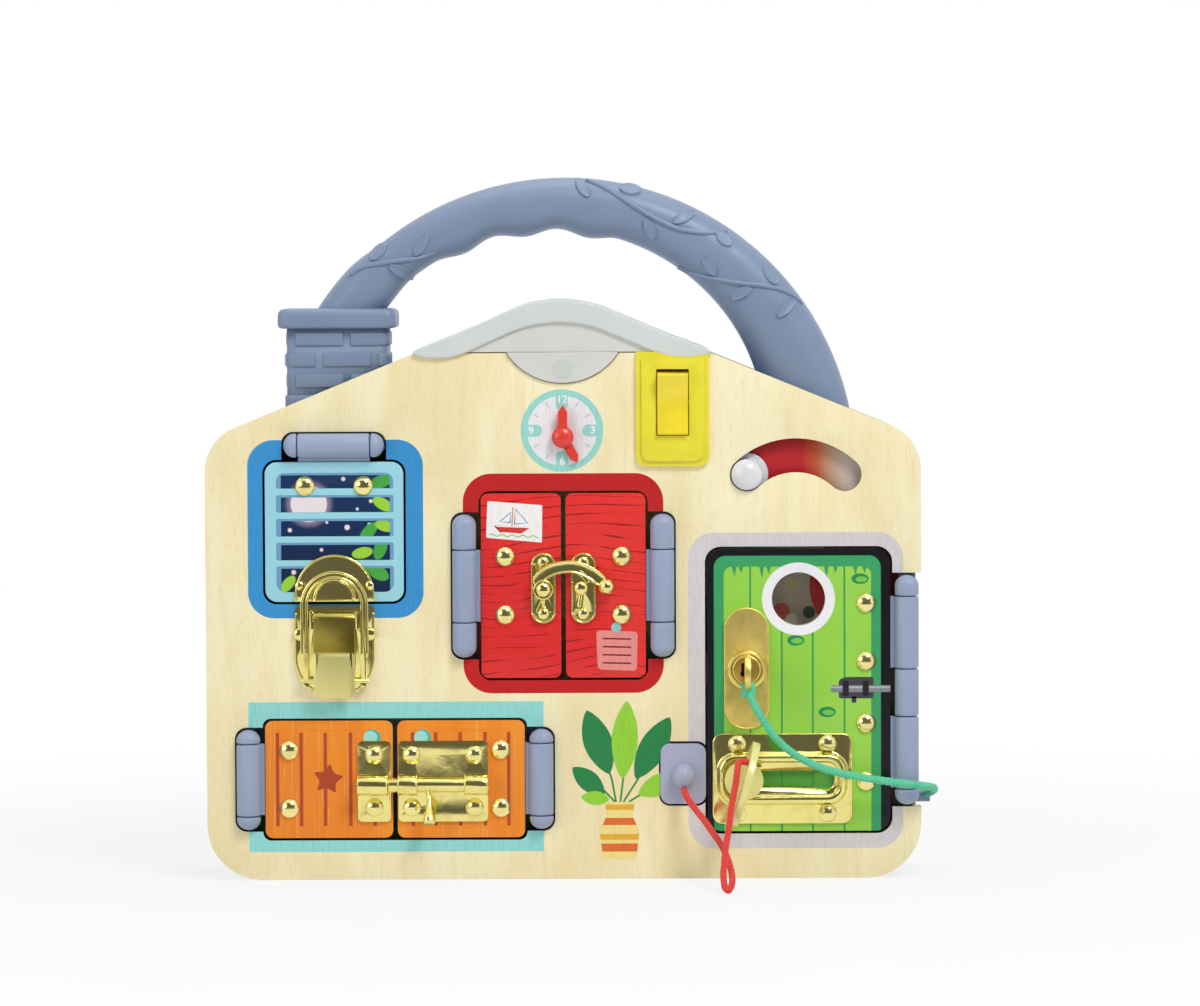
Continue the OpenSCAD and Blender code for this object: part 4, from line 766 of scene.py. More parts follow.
def roundBox(w, h, r):
    # outline points of a round rectangle about the origin
    a, b = w / 2 - r, h / 2 - r
    return [point for cx, cz, start in ((a, b, 0), (-a, b, 90), (-a, -b, 180), (a, -b, 270))
            for point in arcPoints(cx, cz, r, start, start + 90, 8)]


def oval(cx, cz, a, b, steps=40):
    turns = [2 * math.pi * i / steps for i in range(steps)]
    return [(cx + a * math.cos(turn), cz + b * math.sin(turn)) for turn in turns]


def meshOf(data):
    # the mesh that a curve or a text makes
    maker = bpy.data.objects.new(data.name, data)
    bpy.context.scene.collection.objects.link(maker)
    bpy.context.view_layer.update()
    mesh = bpy.data.meshes.new_from_object(maker.evaluated_get(bpy.context.evaluated_depsgraph_get()))
    bpy.data.objects.remove(maker)
    return mesh


def stoodUp(x, out, z):
    # turns a flat drawing to face forward, with its origin at this place
    return Matrix(((mm, 0, 0, x * mm), (0, 0, -mm, frontY - out * mm), (0, mm, 0, z * mm), (0, 0, 0, 1)))


def flatMesh(name, shapes, out, thick=0.0, bevel=0.0):
    # shapes are closed outlines in millimetres; one inside another is a hole
    data = bpy.data.curves.new(name, "CURVE")
    data.dimensions = "2D"
    data.fill_mode = "BOTH"
    for shape in shapes:
        spline = data.splines.new("POLY")
        spline.points.add(len(shape) - 1)
        for point, (x, z) in zip(spline.points, shape):
            point.co = (x, z, 0, 1)
        spline.use_cyclic_u = True
    if thick:
        data.extrude = thick / 2 - bevel
        data.bevel_depth = bevel
        data.bevel_resolution = 3
        data.offset = -bevel
    mesh = meshOf(data)
    mesh.transform(stoodUp(0, out + thick / 2, 0))
    mesh.name = name
    return mesh


def strokes(lines, width):
    # round pen strokes as closed outlines
    shapes = []
    for line in lines:
        left, right = [], []
        for i, (x, z) in enumerate(line):
            x0, z0 = line[max(i - 1, 0)]
            x1, z1 = line[min(i + 1, len(line) - 1)]
            size = math.hypot(x1 - x0, z1 - z0) or 1
            nx, nz = -(z1 - z0) / size * width / 2, (x1 - x0) / size * width / 2
            left.append((x + nx, z + nz))
            right.append((x - nx, z - nz))
        shapes.append(left + right[::-1])
    return shapes


def joinPrints(name, body, slot, prints):
    # several flat prints on one body, as one piece with a material for each colour
    mesh = bmesh.new()
    materials = []
    for flat, material in prints:
        before = len(mesh.faces)
        mesh.from_mesh(flat)
        if material not in materials:
            materials.append(material)
        mesh.faces.ensure_lookup_table()
        for face in mesh.faces[before:]:
            face.material_index = materials.index(material)
            if face.normal.y > 0.5:
                face.normal_flip()
    made = bpy.data.meshes.new(name)
    mesh.to_mesh(made)
    mesh.free()
    return addPiece(name, body, made, *materials, slot=slot)


# cords

cords = {
    "gap": 0.34, "braid": 4.2, "strands": 4,
    "redSize": 2.6, "greenSize": 3.1,
    "red": [(50, 5.5, 38.4), (51.5, 9, 35), (54.5, 13, 31), (58, 18, 27), (61.5, 25, 22.5),
            (65, 32, 18), (67.5, 39, 13), (69, 46, 8), (69, 51, 4.2), (67.5, 54, 1.8), (66, 53, 2.6),
            (65.5, 50, 7), (66, 46.5, 12.5), (66.8, 43, 19), (68.2, 39.5, 26.5), (69.4, 36, 35),
            (71, 33.4, 43), (71.8, 31.4, 48.4), (72.6, 29, 51.6), (74.8, 28, 51.95), (77.6, 28, 51.1)],
    "green": [(77.4, 16, 80), (78.5, 17, 76.5), (80.5, 18, 72.5), (83.5, 17.5, 67.5), (87.5, 16.5, 61.5),
              (93, 15.5, 56), (99.5, 14.5, 51.5), (107, 13.5, 48), (115, 12.5, 45.5), (123, 12, 43.8),
              (131, 11.5, 42.4), (139, 11.2, 41.2), (146.5, 10.5, 40.2), (152, 7.5, 39.2), (155, 2, 38),
              (155.6, -5, 36.4), (154.4, -12, 34.6), (152.8, -18.2, 33.4)],
}


def makeCord(name, points, size, material, node, exitAt):
    line = smoothLine([spot(*p) for p in points], cords["gap"] * mm)

    def weave(k, turn):
        along = k * cords["gap"] / cords["braid"] * 2 * math.pi
        one = math.cos(cords["strands"] * (turn + along / 2))
        two = math.cos(cords["strands"] * (turn - along / 2))
        return 0.96 + 0.14 * max(one, two)
    piece = addPiece(name, None, meshFrom(name, [tube(line, size / 2 * mm, 24, weave)]), material)
    length = sum((q - p).length for p, q in zip(line, line[1:]))
    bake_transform(piece)
    if node:
        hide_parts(node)
    "red_cord" if "red" in name else "green_cord"
    size * mm
    print(name, "length", round(length * 1000, 1))


# each cord lies in two stretches that meet at its bend; the bend is a place in its points
redBend, greenBend = 10, 12
for name, points, size, material, bodies, node in (
        ("redCordLow", cords["red"][:redBend + 1], cords["redSize"], redCordPaint,
         ("board", "main_door"), "red_cord"),
        ("redCordHigh", cords["red"][redBend:], cords["redSize"], redCordPaint,
         ("main_door", "chain_knob"), None),
        ("greenCordEye", cords["green"][greenBend:][::-1], cords["greenSize"], greenCordPaint,
         ("board", "main_door"), "green_cord"),
        ("greenCordKey", cords["green"][:greenBend + 1][::-1], cords["greenSize"], greenCordPaint,
         ("main_door", "key"), None)):
    makeCord(name, points, size, material, node, spot(*points[0]))

knot = {"at": (76.9, 15.6, 80.6), "size": (2.0, 1.5, 2.1), "turns": (2, 1, 3), "start": (0.4, 0.6)}


def makeKnot():
    # a loose ball of cord wound round itself
    line = []
    for k in range(73):
        t = 2 * math.pi * k / 72
        x = math.sin(t * knot["turns"][0] + knot["start"][0]) * knot["size"][0]
        y = math.sin(t * knot["turns"][1] + knot["start"][1]) * knot["size"][1]
        z = math.cos(t * knot["turns"][2]) * knot["size"][2]
        line.append(spot(*knot["at"]) + Vector((x, y, z)) * mm)
    yarn = tube(smoothLine(line, 0.5 * mm), cords["greenSize"] / 2.3 * mm, 14,
                lambda k, turn: 0.92 + 0.1 * abs(math.cos(3 * turn + k * 0.9)))
    addShape("greenKnot", "key", [yarn], greenCordPaint, "green_cord")


makeKnot()
print("cords laid")


# handle with its vines

grip = {
    "x": 1, "z": 171.7, "outer": 123, "width": 20.5, "deep": 16, "swell": 12.5, "swellFrom": -45,
    "swellOver": 105, "finger": 2.6, "fingers": (-32.4, 13.5), "fingerAt": -24.75, "pitch": 15.3,
    "from": -60, "to": 86, "steps": 190, "sides": 56, "vine": 1.05, "leafHigh": 0.85, "leafHalf": 2.35,
    "flare": 1.8, "flareFrom": -38, "flareTo": -48,
    "vines": [
        [(-89.1, 253.8), (-83.4, 257.2), (-71, 259.5), (-60.7, 261), (-53, 263.3)],
        [(10.5, 293.2), (18.2, 290), (25, 285.7), (32.8, 280.8), (40.6, 276.4), (48.3, 273), (55.1, 271.6),
         (61.9, 270.9), (69.2, 271.6)],
        [(49.3, 256.9), (55.1, 254), (63.9, 251.9), (73.6, 250.1), (83.4, 248.9), (91.2, 247.2), (98, 243.8),
         (101, 240.8)]],
    "leaves": [
        ((-80.3, 260), (-74.2, 266.7)), ((-62.3, 262.1), (-56.3, 270.3)), ((-72.8, 257.9), (-63.2, 252.8)),
        ((6.1, 293.6), (11.6, 286.2)), ((24.1, 290), (33.3, 288.6)), ((46.4, 275.4), (55.6, 279.6)),
        ((34.7, 277.4), (39, 268.2)), ((64.7, 271.1), (71.2, 265.5)), ((59.2, 260.7), (65, 253.5)),
        ((84.9, 257.6), (90.2, 248.9)), ((79.7, 247.9), (70.7, 243.5)), ((97.4, 242.8), (90.2, 235.4))],
}


def gripFlare(angle):
    # a little stouter where it goes into the chimney
    share = min(1, max(0, (angle - grip["flareFrom"]) / (grip["flareTo"] - grip["flareFrom"])))
    return grip["flare"] * share * share * (3 - 2 * share)


def gripOuter(angle):
    return grip["outer"] + gripFlare(angle)


def gripInner(angle):
    # finger bumps along the middle, and a swell that grows to the right
    g = grip
    first, last = g["fingers"]
    turn = 2 * math.pi * (angle - g["fingerAt"]) / g["pitch"]
    wave = 0 if angle < first or angle > last else 0.5 + 0.5 * math.cos(turn)
    swell = g["swell"] * ((angle - g["swellFrom"]) / g["swellOver"]) ** 2 if angle > g["swellFrom"] else 0
    return g["outer"] - g["width"] - swell + 1 - g["finger"] * wave - gripFlare(angle)


def bulge(value):
    return math.copysign(abs(value) ** 0.8, value)


def gripPoint(angle, turn, proud=0.0):
    g = grip
    middle = (gripOuter(angle) + gripInner(angle)) / 2
    half = (gripOuter(angle) - gripInner(angle)) / 2 + proud
    r = middle + half * bulge(math.cos(turn))
    a = math.radians(angle)
    return Vector((g["x"] + r * math.sin(a), (g["deep"] + proud) * bulge(math.sin(turn)),
                   g["z"] + r * math.cos(a))) * mm


def onGrip(x, z, side=-1, proud=0.0):
    # the place on the front (-1) or back (1) of the grip at a place seen from the front
    g = grip
    angle = math.degrees(math.atan2(x - g["x"], z - g["z"]))
    r = math.hypot(x - g["x"], z - g["z"])
    middle = (gripOuter(angle) + gripInner(angle)) / 2
    half = (gripOuter(angle) - gripInner(angle)) / 2
    share = max(-0.985, min(0.985, (r - middle) / half))
    c = math.copysign(abs(share) ** 1.25, share)
    return gripPoint(angle, side * math.acos(c), proud)


def makeGrip():
    g = grip
    rings = []
    for k in range(g["steps"] + 1):
        angle = g["from"] + (g["to"] - g["from"]) * k / g["steps"]
        rings.append([gripPoint(angle, 2 * math.pi * i / g["sides"]) for i in range(g["sides"])])
    addShape("gripTube", "board", [joinedRings(rings)], shell, "blue_grey_plastic", "handle")
    parts = []
    for side in (-1, 1):
        for vine in g["vines"]:
            line = smoothLine([Vector((x, 0, z)) for x, z in vine], 0.9)
            path = [onGrip(p.x, p.z, side, 0.12) for p in line]
            last = len(path) - 1
            parts.append(tube(path, g["vine"] * mm, 12,
                              lambda k, turn: 0.45 + 0.55 * min(1, (last - k) / 12)))
        for start, end in g["leaves"]:
            parts.append(leafOnGrip(start, end, side))
    addShape("gripVines", "board", parts, shell, "blue_grey_plastic")


def leafOnGrip(start, end, side):
    # a low leaf with a raised rim and a faint middle
    ax, az = start
    bx, bz = end
    length = math.hypot(bx - ax, bz - az)
    ux, uz = (bx - ax) / length, (bz - az) / length
    rows, columns = 22, 14
    points = []
    for i in range(rows + 1):
        s = i / rows
        width = grip["leafHalf"] * (math.sin(math.pi * min(1, s * 0.96 + 0.02)) ** 0.62)
        for j in range(columns + 1):
            t = 2 * j / columns - 1
            rim = max(0.0, 1 - abs(abs(t) - 0.8) / 0.2) * 0.25
            edge = -0.5 if abs(t) > 0.99 or i in (0, rows) else 0.0
            high = grip["leafHigh"] * (1 - 0.25 * (1 - abs(t))) + rim + edge * 1.4
            x = ax + ux * length * s - uz * width * t
            z = az + uz * length * s + ux * width * t
            points.append(onGrip(x, z, side, high))
    faces = []
    for i in range(rows):
        for j in range(columns):
            a = i * (columns + 1) + j
            faces.append((a, a + 1, a + columns + 2, a + columns + 1))
    return points, faces


makeGrip()
print("handle made")


# chimney

chimney = {"mid": -94.8, "wide": 42.4, "deep": 36, "corner": 4, "roofAt": 240.5, "slope": 0.409,
           "capLow": 231.5, "lip": 3.6, "capCorner": 4.5, "brick": 20.4, "course": 6, "joint": 2.8,
           "proud": 0.8, "first": -0.3, "rows": 4, "shortest": 6, "endGap": 5.5,
           "capEdge": [(1.8, 0), (0.8, 0.2), (0.2, 0.8), (0, 1.8), (0, 5.4), (0.3, 6.8), (1.1, 7.8),
                       (2.6, 8.3)]}


def roofUnder(x):
    # a little under the roof of the frame, where the stack goes in
    return chimney["roofAt"] - chimney["slope"] * abs(x)


def aroundStack(s, out, z):
    # the place s millimetres round the stack, starting at the left end of its flat front
    c = chimney
    r = c["corner"]
    a, b = c["wide"] / 2 - r, c["deep"] / 2 - r
    arc = math.pi * r / 2
    s %= 4 * (a + b + arc)
    for k, (x, y, run) in enumerate(((-a, -b, 2 * a), (a, -b, 2 * b), (a, b, 2 * a), (-a, b, 2 * b))):
        if s <= run + arc:
            break
        s -= run + arc
    along = min(s, run)
    turn = math.radians(90 * k - 90) + max(0, s - run) / r
    px = c["mid"] + x + math.cos(math.radians(90 * k)) * along + math.cos(turn) * (r + out)
    py = y + math.sin(math.radians(90 * k)) * along + math.sin(turn) * (r + out)
    return Vector((px, py, max(z, roofUnder(px)))) * mm


def edgeSteps(length):
    # places across a brick with how far each stands out: a soft edge and a flat middle
    rise = [(0, -0.35), (0.15, 0.35), (0.4, 0.78), (0.8, 1)]
    flat = max(2, round((length - 1.6) / 1.6))
    middle = [(0.8 + (length - 1.6) * i / flat, 1) for i in range(1, flat)]
    return rise + middle + [(length - place, high) for place, high in rise[::-1]]


def makeChimney():
    c = chimney
    around = 4 * (c["wide"] / 2 + c["deep"] / 2 - 2 * c["corner"]) + 2 * math.pi * c["corner"]
    walls = [[aroundStack(around * i / 120, 0, z) for i in range(120)] for z in (0, c["capLow"] + 0.4)]
    parts = [joinedRings(walls)]
    rings = []
    for inset, high in c["capEdge"]:
        more = 2 * (c["lip"] - inset)
        outline = roundBox(c["wide"] + more, c["deep"] + more, c["capCorner"] - inset * 0.5)
        rings.append([Vector((c["mid"] + x, y, c["capLow"] + high)) * mm for x, y in outline])
    parts.append(joinedRings(rings))
    pitch = c["brick"] + c["joint"]
    for row in range(c["rows"]):
        top = c["capLow"] - c["joint"] / 2 - row * (c["course"] + c["joint"])
        start = c["first"] - row % 2 * pitch / 2
        last = start + around - (c["endGap"] if row % 2 == 0 else c["joint"])
        while last - start > c["shortest"]:
            length = min(c["brick"], last - start)
            columns, rows = edgeSteps(length), edgeSteps(c["course"])
            roof = max(roofUnder(aroundStack(start + place, 0, 0).x / mm) for place, high in columns)
            if roof < top - 0.5:
                points = [aroundStack(start + place, c["proud"] * min(high, rise), top - c["course"] + up)
                          for up, rise in rows for place, high in columns]
                n = len(columns)
                faces = [(i * n + j, i * n + j + 1, (i + 1) * n + j + 1, (i + 1) * n + j)
                         for i in range(len(rows) - 1) for j in range(n - 1)]
                parts.append((points, faces))
            start += length + c["joint"]
    addShape("chimneyStack", "board", parts, shell, "blue_grey_plastic", "chimney")


makeChimney()
print("chimney made")


# hinges

hinge = {"radius": 5, "axisOut": 0.8, "gap": 0.4, "toDoor": 7, "web": 2.5, "leafReach": 22.5, "leafFrom": 5,
         "leafTo": 7, "domed": 4.4, "inDome": 2.6, "footFrom": 9, "footTo": 12, "footWide": 10,
         "footNarrow": 0.8, "short": (6, 30.5, 6), "tall": (15, 30.5, 15), "long": (7, 30.5, 20, 30.5, 9)}
hingePlaces = {  # axis middle, direction to the door, direction of the axis, spans
    "window": ((-95.9, 182.7), (0, -1), (1, 0), "short"),
    "redLeft": ((-41.5, 123.5), (1, 0), (0, 1), "tall"),
    "redRight": ((41.5, 123.5), (-1, 0), (0, 1), "tall"),
    "gateLeft": ((-132.5, 42.3), (1, 0), (0, 1), "short"),
    "gateRight": ((-9.5, 42.3), (-1, 0), (0, 1), "short"),
    "main": ((143.9, 79.2), (-1, 0), (0, 1), "long"),
}


def hingeSpot(place, u, v, out):
    (cx, cz), (ux, uz), (vx, vz) = place[:3]
    return spot(cx + ux * u + vx * v, out, cz + uz * u + vz * v)


def hingeBlock(place, u0, u1, v0, v1, out0, out1):
    corners = [hingeSpot(place, u, v, out) for u in (u0, u1) for v in (v0, v1) for out in (out0, out1)]
    return corners, [(0, 1, 3, 2), (4, 6, 7, 5), (0, 4, 5, 1), (2, 3, 7, 6), (0, 2, 6, 4), (1, 5, 7, 3)]


def barrel(place, v0, v1, domedStart, domedEnd):
    r = hinge["radius"]

    def end(domed):
        if not domed:
            return [(0, 0), (r - 0.7, 0), (r - 0.34, 0.1), (r - 0.1, 0.34), (r, 0.7)]
        turns = [math.radians(a) for a in range(0, 91, 9)]
        return [(r * math.sin(a), hinge["domed"] * (1 - math.cos(a))) for a in turns]
    last = [(radius, v1 - v0 - along) for radius, along in end(domedEnd)][::-1]
    vx, vz = place[2]
    return lathe(hingeSpot(place, 0, v0, hinge["axisOut"]), Vector((vx, 0, vz)), end(domedStart) + last, 56)


def hingeParts(place, moving):
    # the knuckles of the door with its leaf, or those of the board with their foot
    h = hinge
    spans = h[place[3]]
    at, parts = -sum(spans) / 2, []
    for i, span in enumerate(spans):
        v0, v1 = at + h["gap"] / 2, at + span - h["gap"] / 2
        at += span
        if (i % 2 == 1) != moving:
            continue
        first, last = i == 0, i == len(spans) - 1
        parts.append(barrel(place, v0, v1, first, last))
        if moving:
            parts.append(hingeBlock(place, 0, h["toDoor"] - 0.15, v0, v1, -h["leafTo"], -0.5))
            parts.append(hingeBlock(place, 0, h["leafReach"], v0, v1, -h["leafTo"], -h["leafFrom"]))
        else:
            low, high = v0 + h["inDome"] * first, v1 - h["inDome"] * last
            parts.append(hingeBlock(place, -h["web"], h["web"], low, high, -h["footFrom"], 0))
    if not moving:
        reach = h["footNarrow"] if place[3] == "long" else h["footWide"]
        half = sum(spans) / 2
        parts.append(hingeBlock(place, -reach, h["web"], -half, half, -h["footTo"], -h["footFrom"]))
    return parts


feet = [part for place in hingePlaces.values() for part in hingeParts(place, False)]
hinges = [addShape("hingeBarrels", "board", feet, hingePlastic, "blue_grey_plastic", "hinge_bases")]
for key, body, node in (
        ("window", "window", "window_leaf"), ("redLeft", "red_left", "red_leaf_left"),
        ("redRight", "red_right", "red_leaf_right"), ("gateLeft", "gate_left", "gate_leaf_left"),
        ("gateRight", "gate_right", "gate_leaf_right"), ("main", "main_door", "main_leaf")):
    hinges.append(addShape(key + "Leaf", body, hingeParts(hingePlaces[key], True), hingePlastic,
                           "blue_grey_plastic", node))
for piece in hinges:
    addBevel(piece, 0.22, 2, 50)
print("hinges made")


# roof lamp

lamp = {
    "top": [(-62.4, 221.3), (-61, 222.6), (-53.4, 225.7), (-35.9, 232.8), (-18.4, 240.6), (-10.5, 242.6),
            (-1, 243.4), (9.3, 242.3), (17.6, 240), (29.6, 235), (44.5, 228.8), (59.4, 223.2),
            (62.4, 221.2)],
    "low": [(60.4, 219.9), (55, 219), (49.4, 218.9), (43, 219.9), (36.5, 222), (30.5, 224.7), (24.6, 227.1),
            (14.2, 231.3), (5.6, 233.2), (-2.3, 233.6), (-10.6, 232.8), (-18.5, 230.8), (-30.2, 225.8),
            (-37, 222.6), (-42, 220.6), (-47.5, 219.1), (-53, 218.8), (-58.5, 219.2), (-61.6, 220.1)],
    "plate": [(-40, 221.4), (-30.2, 226.4), (-18.5, 231.4), (-10.6, 233.4), (-2.3, 234.2), (5.6, 233.8),
              (14.2, 231.9), (24.6, 227.7), (36.5, 222.6), (40, 221.4)],
    "front": 2, "back": -54, "in": 1.6,
    "tab": {"radius": 28, "middle": 236.4, "top": 221.3, "back": -5.9, "thick": 7.2},
    "boss": {"radius": 4.2, "middle": 214.4, "out": 1.3, "thick": 0.14},
}


def roundCurve(points):
    return [(p.x, p.z) for p in smoothLine([Vector((x, 0, z)) for x, z in points], 1.0)]


def makeLamp():
    # the hood, the plate it covers with its hanging tab, and the boss on the tab
    low, deep = lamp["back"], lamp["front"] - lamp["back"]
    hood = flatMesh("lampHood", [roundCurve(lamp["top"]) + roundCurve(lamp["low"])], low, deep, 0.9)
    addPiece("lampHood", "board", hood, frost, slot="frosted_plastic", node="lamp_cover")
    smoothMesh(hood)
    tab, boss = lamp["tab"], lamp["boss"]
    turns = [math.radians(a) for a in range(-58, 59, 2)]
    cut = [(tab["radius"] * math.sin(a), tab["middle"] - tab["radius"] * math.cos(a)) for a in turns]
    cut = [(x, z) for x, z in cut if z < tab["top"]]
    cut += [(cut[-1][0], tab["top"]), (cut[0][0], tab["top"])]
    plate = flatMesh("lampPlate", [roundCurve(lamp["plate"])], low + lamp["in"], deep - 2 * lamp["in"], 0.4)
    hanging = flatMesh("lampTab", [cut], tab["back"], tab["thick"], 0.5)
    lens = joinPrints("lampLens", "board", "frosted_plastic", [(plate, frostInner), (hanging, frostInner)])
    smoothMesh(lens.data)
    disc = flatMesh("lampBoss", [oval(0, boss["middle"], boss["radius"], boss["radius"], 24)], boss["out"],
                    boss["thick"], 0.05)
    joinPrints("lampBoss", "board", "frosted_plastic", [(disc, frostPaint("lampMark", rgb(216, 221, 218)))])


makeLamp()
print("lamp made")


# the switch plate runs on under the hood
switchTop = {"left": 30.75, "right": 61.25, "low": 218.1, "high": 221.4, "thick": 1.75}


def makeSwitchTop():
    t = switchTop
    outline = [(t[side], t[level]) for side, level in (
        ("left", "low"), ("right", "low"), ("right", "high"), ("left", "high"))]
    mesh = flatMesh("switchTop", [outline], 0, t["thick"], 0.4)
    addPiece("switchTop", "board", mesh, yellow, slot="yellow_plastic")
    smoothMesh(mesh)


makeSwitchTop()


# brass pieces

forward = Vector((0, -1, 0))


def bead(points, out, radius, close=False):
    # a round bead along a line on the board
    line = [spot(x, out, z) for x, z in points]
    if close:
        line.append(line[0].copy())
    return tube(smoothLine(line, 0.7 * mm), radius * mm, caps=not close)


chain = {"x": 91.6, "z": 42, "knob": -16.3, "run": 33, "slot": 3.5, "hole": 5.2,
         "slotOut": (2.1, 2.0, 1.4, 0.1), "rings": [  # width, height, corner, out
             (58.6, 38, 4, 0.02), (58.6, 38, 4, 0.85), (58.2, 37.6, 3.8, 1.12), (57.4, 36.8, 3.5, 1.2),
             (55.4, 23.4, 8, 1.2), (54.6, 22.2, 7.8, 1.45), (53.8, 21.2, 7.4, 2.2), (53, 20.3, 7, 3.1),
             (51.9, 19.2, 6.6, 3.62), (50.3, 17.6, 6, 3.8), (48.6, 15.9, 5.4, 3.62), (47.4, 14.7, 5, 3.1),
             (46.6, 13.9, 4.6, 2.5), (45.4, 12.9, 4.2, 2.2), (44.4, 12, 4, 2.12)]}


def makeChainPlate():
    # pressed in steps up to the rim of the keyhole slot
    c = chain
    rings = [[spot(c["x"] + x, out, c["z"] + z) for x, z in roundBox(w, h, r)]
             for w, h, r, out in c["rings"]]
    neck = 180 - math.degrees(math.asin(c["slot"] / c["hole"]))
    slot = arcPoints(c["knob"] + c["run"], 0, c["hole"], 0, neck, 8)
    slot += arcPoints(c["knob"], 0, c["slot"], 90, 180, 8)
    slot += [(x, -z) for x, z in reversed(slot)]
    rings += [[spot(c["x"] + x, out, c["z"] + z) for x, z in slot] for out in c["slotOut"]]
    addShape("chainPlatePressed", "main_door", [joinedRings(rings, False)], brass, "brass", "chain_plate")


makeChainPlate()

latch = {"x": -95.9, "loop": (11.55, 13.6), "loopLegs": (95, 105), "bend": 116.05, "loopOut": 4.32,
         "half": 16.2, "baseLegs": (112.5, 100), "baseTurn": 93.6, "rivetAt": (14.7, 103.6),
         "catch": 120.3, "mouth": (118.4, 8.3), "lip": (9, 118.9),
         "rivet": [(2.75, 0), (2.75, 0.3), (2.55, 0.75), (2.0, 1.15), (1.1, 1.38), (0, 1.45)]}


def makeLatchTrim():
    # rounded edges of the strap loop, the catch and the base, and the rivets of the base
    x, half = latch["x"], latch["half"]

    def hoop(r, legs, middle, start, end, steps):
        # two straight legs with an arc between them
        left, right = [(x - r, z) for z in legs], [(x + r, z) for z in legs]
        return left + arcPoints(x, middle, r, start, end, steps) + right[::-1]
    loop = [bead(hoop(r, latch["loopLegs"], latch["bend"], 180, 0, 18), latch["loopOut"], 0.62)
            for r in latch["loop"]]
    reach, lip = latch["lip"]
    catch = [bead(arcPoints(x, latch["catch"], half, 190, -10, 40), 1.15, 0.5),
             bead(arcPoints(x, *latch["mouth"], 180, 0), 4.1, 0.65),
             bead([(x - reach, lip), (x + reach, lip)], 3.9, 0.55)]
    base = [bead(hoop(half, latch["baseLegs"], latch["baseTurn"], 183, 357, 40), 1.2, 0.5)]
    across, high = latch["rivetAt"]
    base += [lathe(spot(x + side * across, 1.2, high), forward, latch["rivet"], 40) for side in (-1, 1)]
    for name, body, parts in (("loopBeads", "latch_loop", loop), ("catchRim", "window", catch),
                              ("latchBaseRim", "board", base)):
        addShape(name, body, parts, brass, "brass")


makeLatchTrim()

hook = {"x": -8.4, "z": 122.1, "armOut": 4.65, "half": 2.6, "thick": 0.85,
        "path": [(-2.6, 2), (-1.6, 4.6), (0.6, 6.8), (4, 8.5), (8, 9.4), (12, 9.6), (16, 8.7), (20, 6.8),
                 (23.4, 4.4), (25.4, 2.4)],
        "boss": [(0, -0.85), (4.25, -0.85), (4.3, 0.45), (4.1, 0.85), (3.75, 1.0), (3.35, 0.95), (3.1, 0.6),
                 (2.75, 0.5), (2.65, 0.9), (2.4, 1.15), (1.9, 1.28), (0, 1.35)],
        "spur": [(14.6, 7.6), (17.2, 5.6), (18.8, 2.9)], "spurHalf": 1.1, "spurThick": 0.7,
        "ball": 3.4, "ballAt": (26.6, 4.6, 1.2), "plate": (9.5, 28.8, 4.7), "plateZ": 122.5,
        "post": [(2.42, 4.5), (2.85, 4.6), (3.0, 5.0), (2.85, 5.6), (2.3, 6.2), (1.3, 6.6), (0, 6.75)],
        "postAt": (7.4, 0, 122.7), "foot": [(7.4, 120.4), (6.4, 114.6)]}


def castBar(path, gap, half, thick):
    # a bar with a raised rim along both edges and a shallow middle
    rim = [(1, -1), (1, 0.6), (0.92, 1), (0.8, 1), (0.7, 0.6), (0.6, 0.5)]
    section = [(side * u, thick * v) for side, edge in ((-1, rim), (1, rim[::-1])) for u, v in edge]
    line = smoothLine([Vector((x, 0, z)) for x, z in path], gap)
    rings = []
    last = len(line) - 1
    for k, point in enumerate(line):
        ahead = aheadAt(line, k)
        wide = half * min(1, 0.62 + k / 7, 0.62 + (last - k) / 9)
        rings.append([spot(hook["x"] + point.x - ahead.z * u * wide, hook["armOut"] + v,
                           hook["z"] + point.z + ahead.x * u * wide) for u, v in section])
    return joinedRings(rings)


def makeHookTrim():
    # the cast arm with its boss, spur and ball, and the rims of the plates
    x, z = hook["x"], hook["z"]
    over, out, up = hook["ballAt"]
    turns = [math.radians(a) for a in range(0, 181, 9)]
    ball = [(hook["ball"] * math.sin(a), -hook["ball"] * math.cos(a)) for a in turns]
    arm = [castBar(hook["path"], 0.6, hook["half"], hook["thick"]),
           lathe(spot(x, hook["armOut"], z), forward, hook["boss"]),
           castBar(hook["spur"], 0.5, hook["spurHalf"], hook["spurThick"]),
           lathe(spot(x + over, out, z + up), forward, ball, 40)]
    addShape("hookArmCast", "hook_arm", arm, brass, "brass", "hook_arm")
    post = [lathe(spot(*hook["postAt"]), forward, hook["post"], 40), bead(hook["foot"], 2.3, 0.85)]
    for name, body, cx, more in (("hookPlateRim", "red_left", x, []),
                                 ("postPlateRim", "red_right", -x, post)):
        outline = [(cx + px, hook["plateZ"] + pz) for px, pz in roundBox(*hook["plate"])]
        addShape(name, body, [bead(outline, 1.18, 0.42, True)] + more, brass, "brass")


makeHookTrim()


lock = {"x": 76.7, "z": 87.9, "plateZ": 88.4, "plate": (18.2, 50.5, 9),
        "rings": [(5.1, 0.2), (8.0, 0.2), (8.05, 0.9), (7.9, 1.5), (7.5, 1.95), (7.1, 2.05), (6.7, 1.9),
                  (6.4, 1.6), (6.1, 1.62), (5.8, 1.9), (5.45, 2.0), (5.12, 1.8), (5.08, 0.2)]}


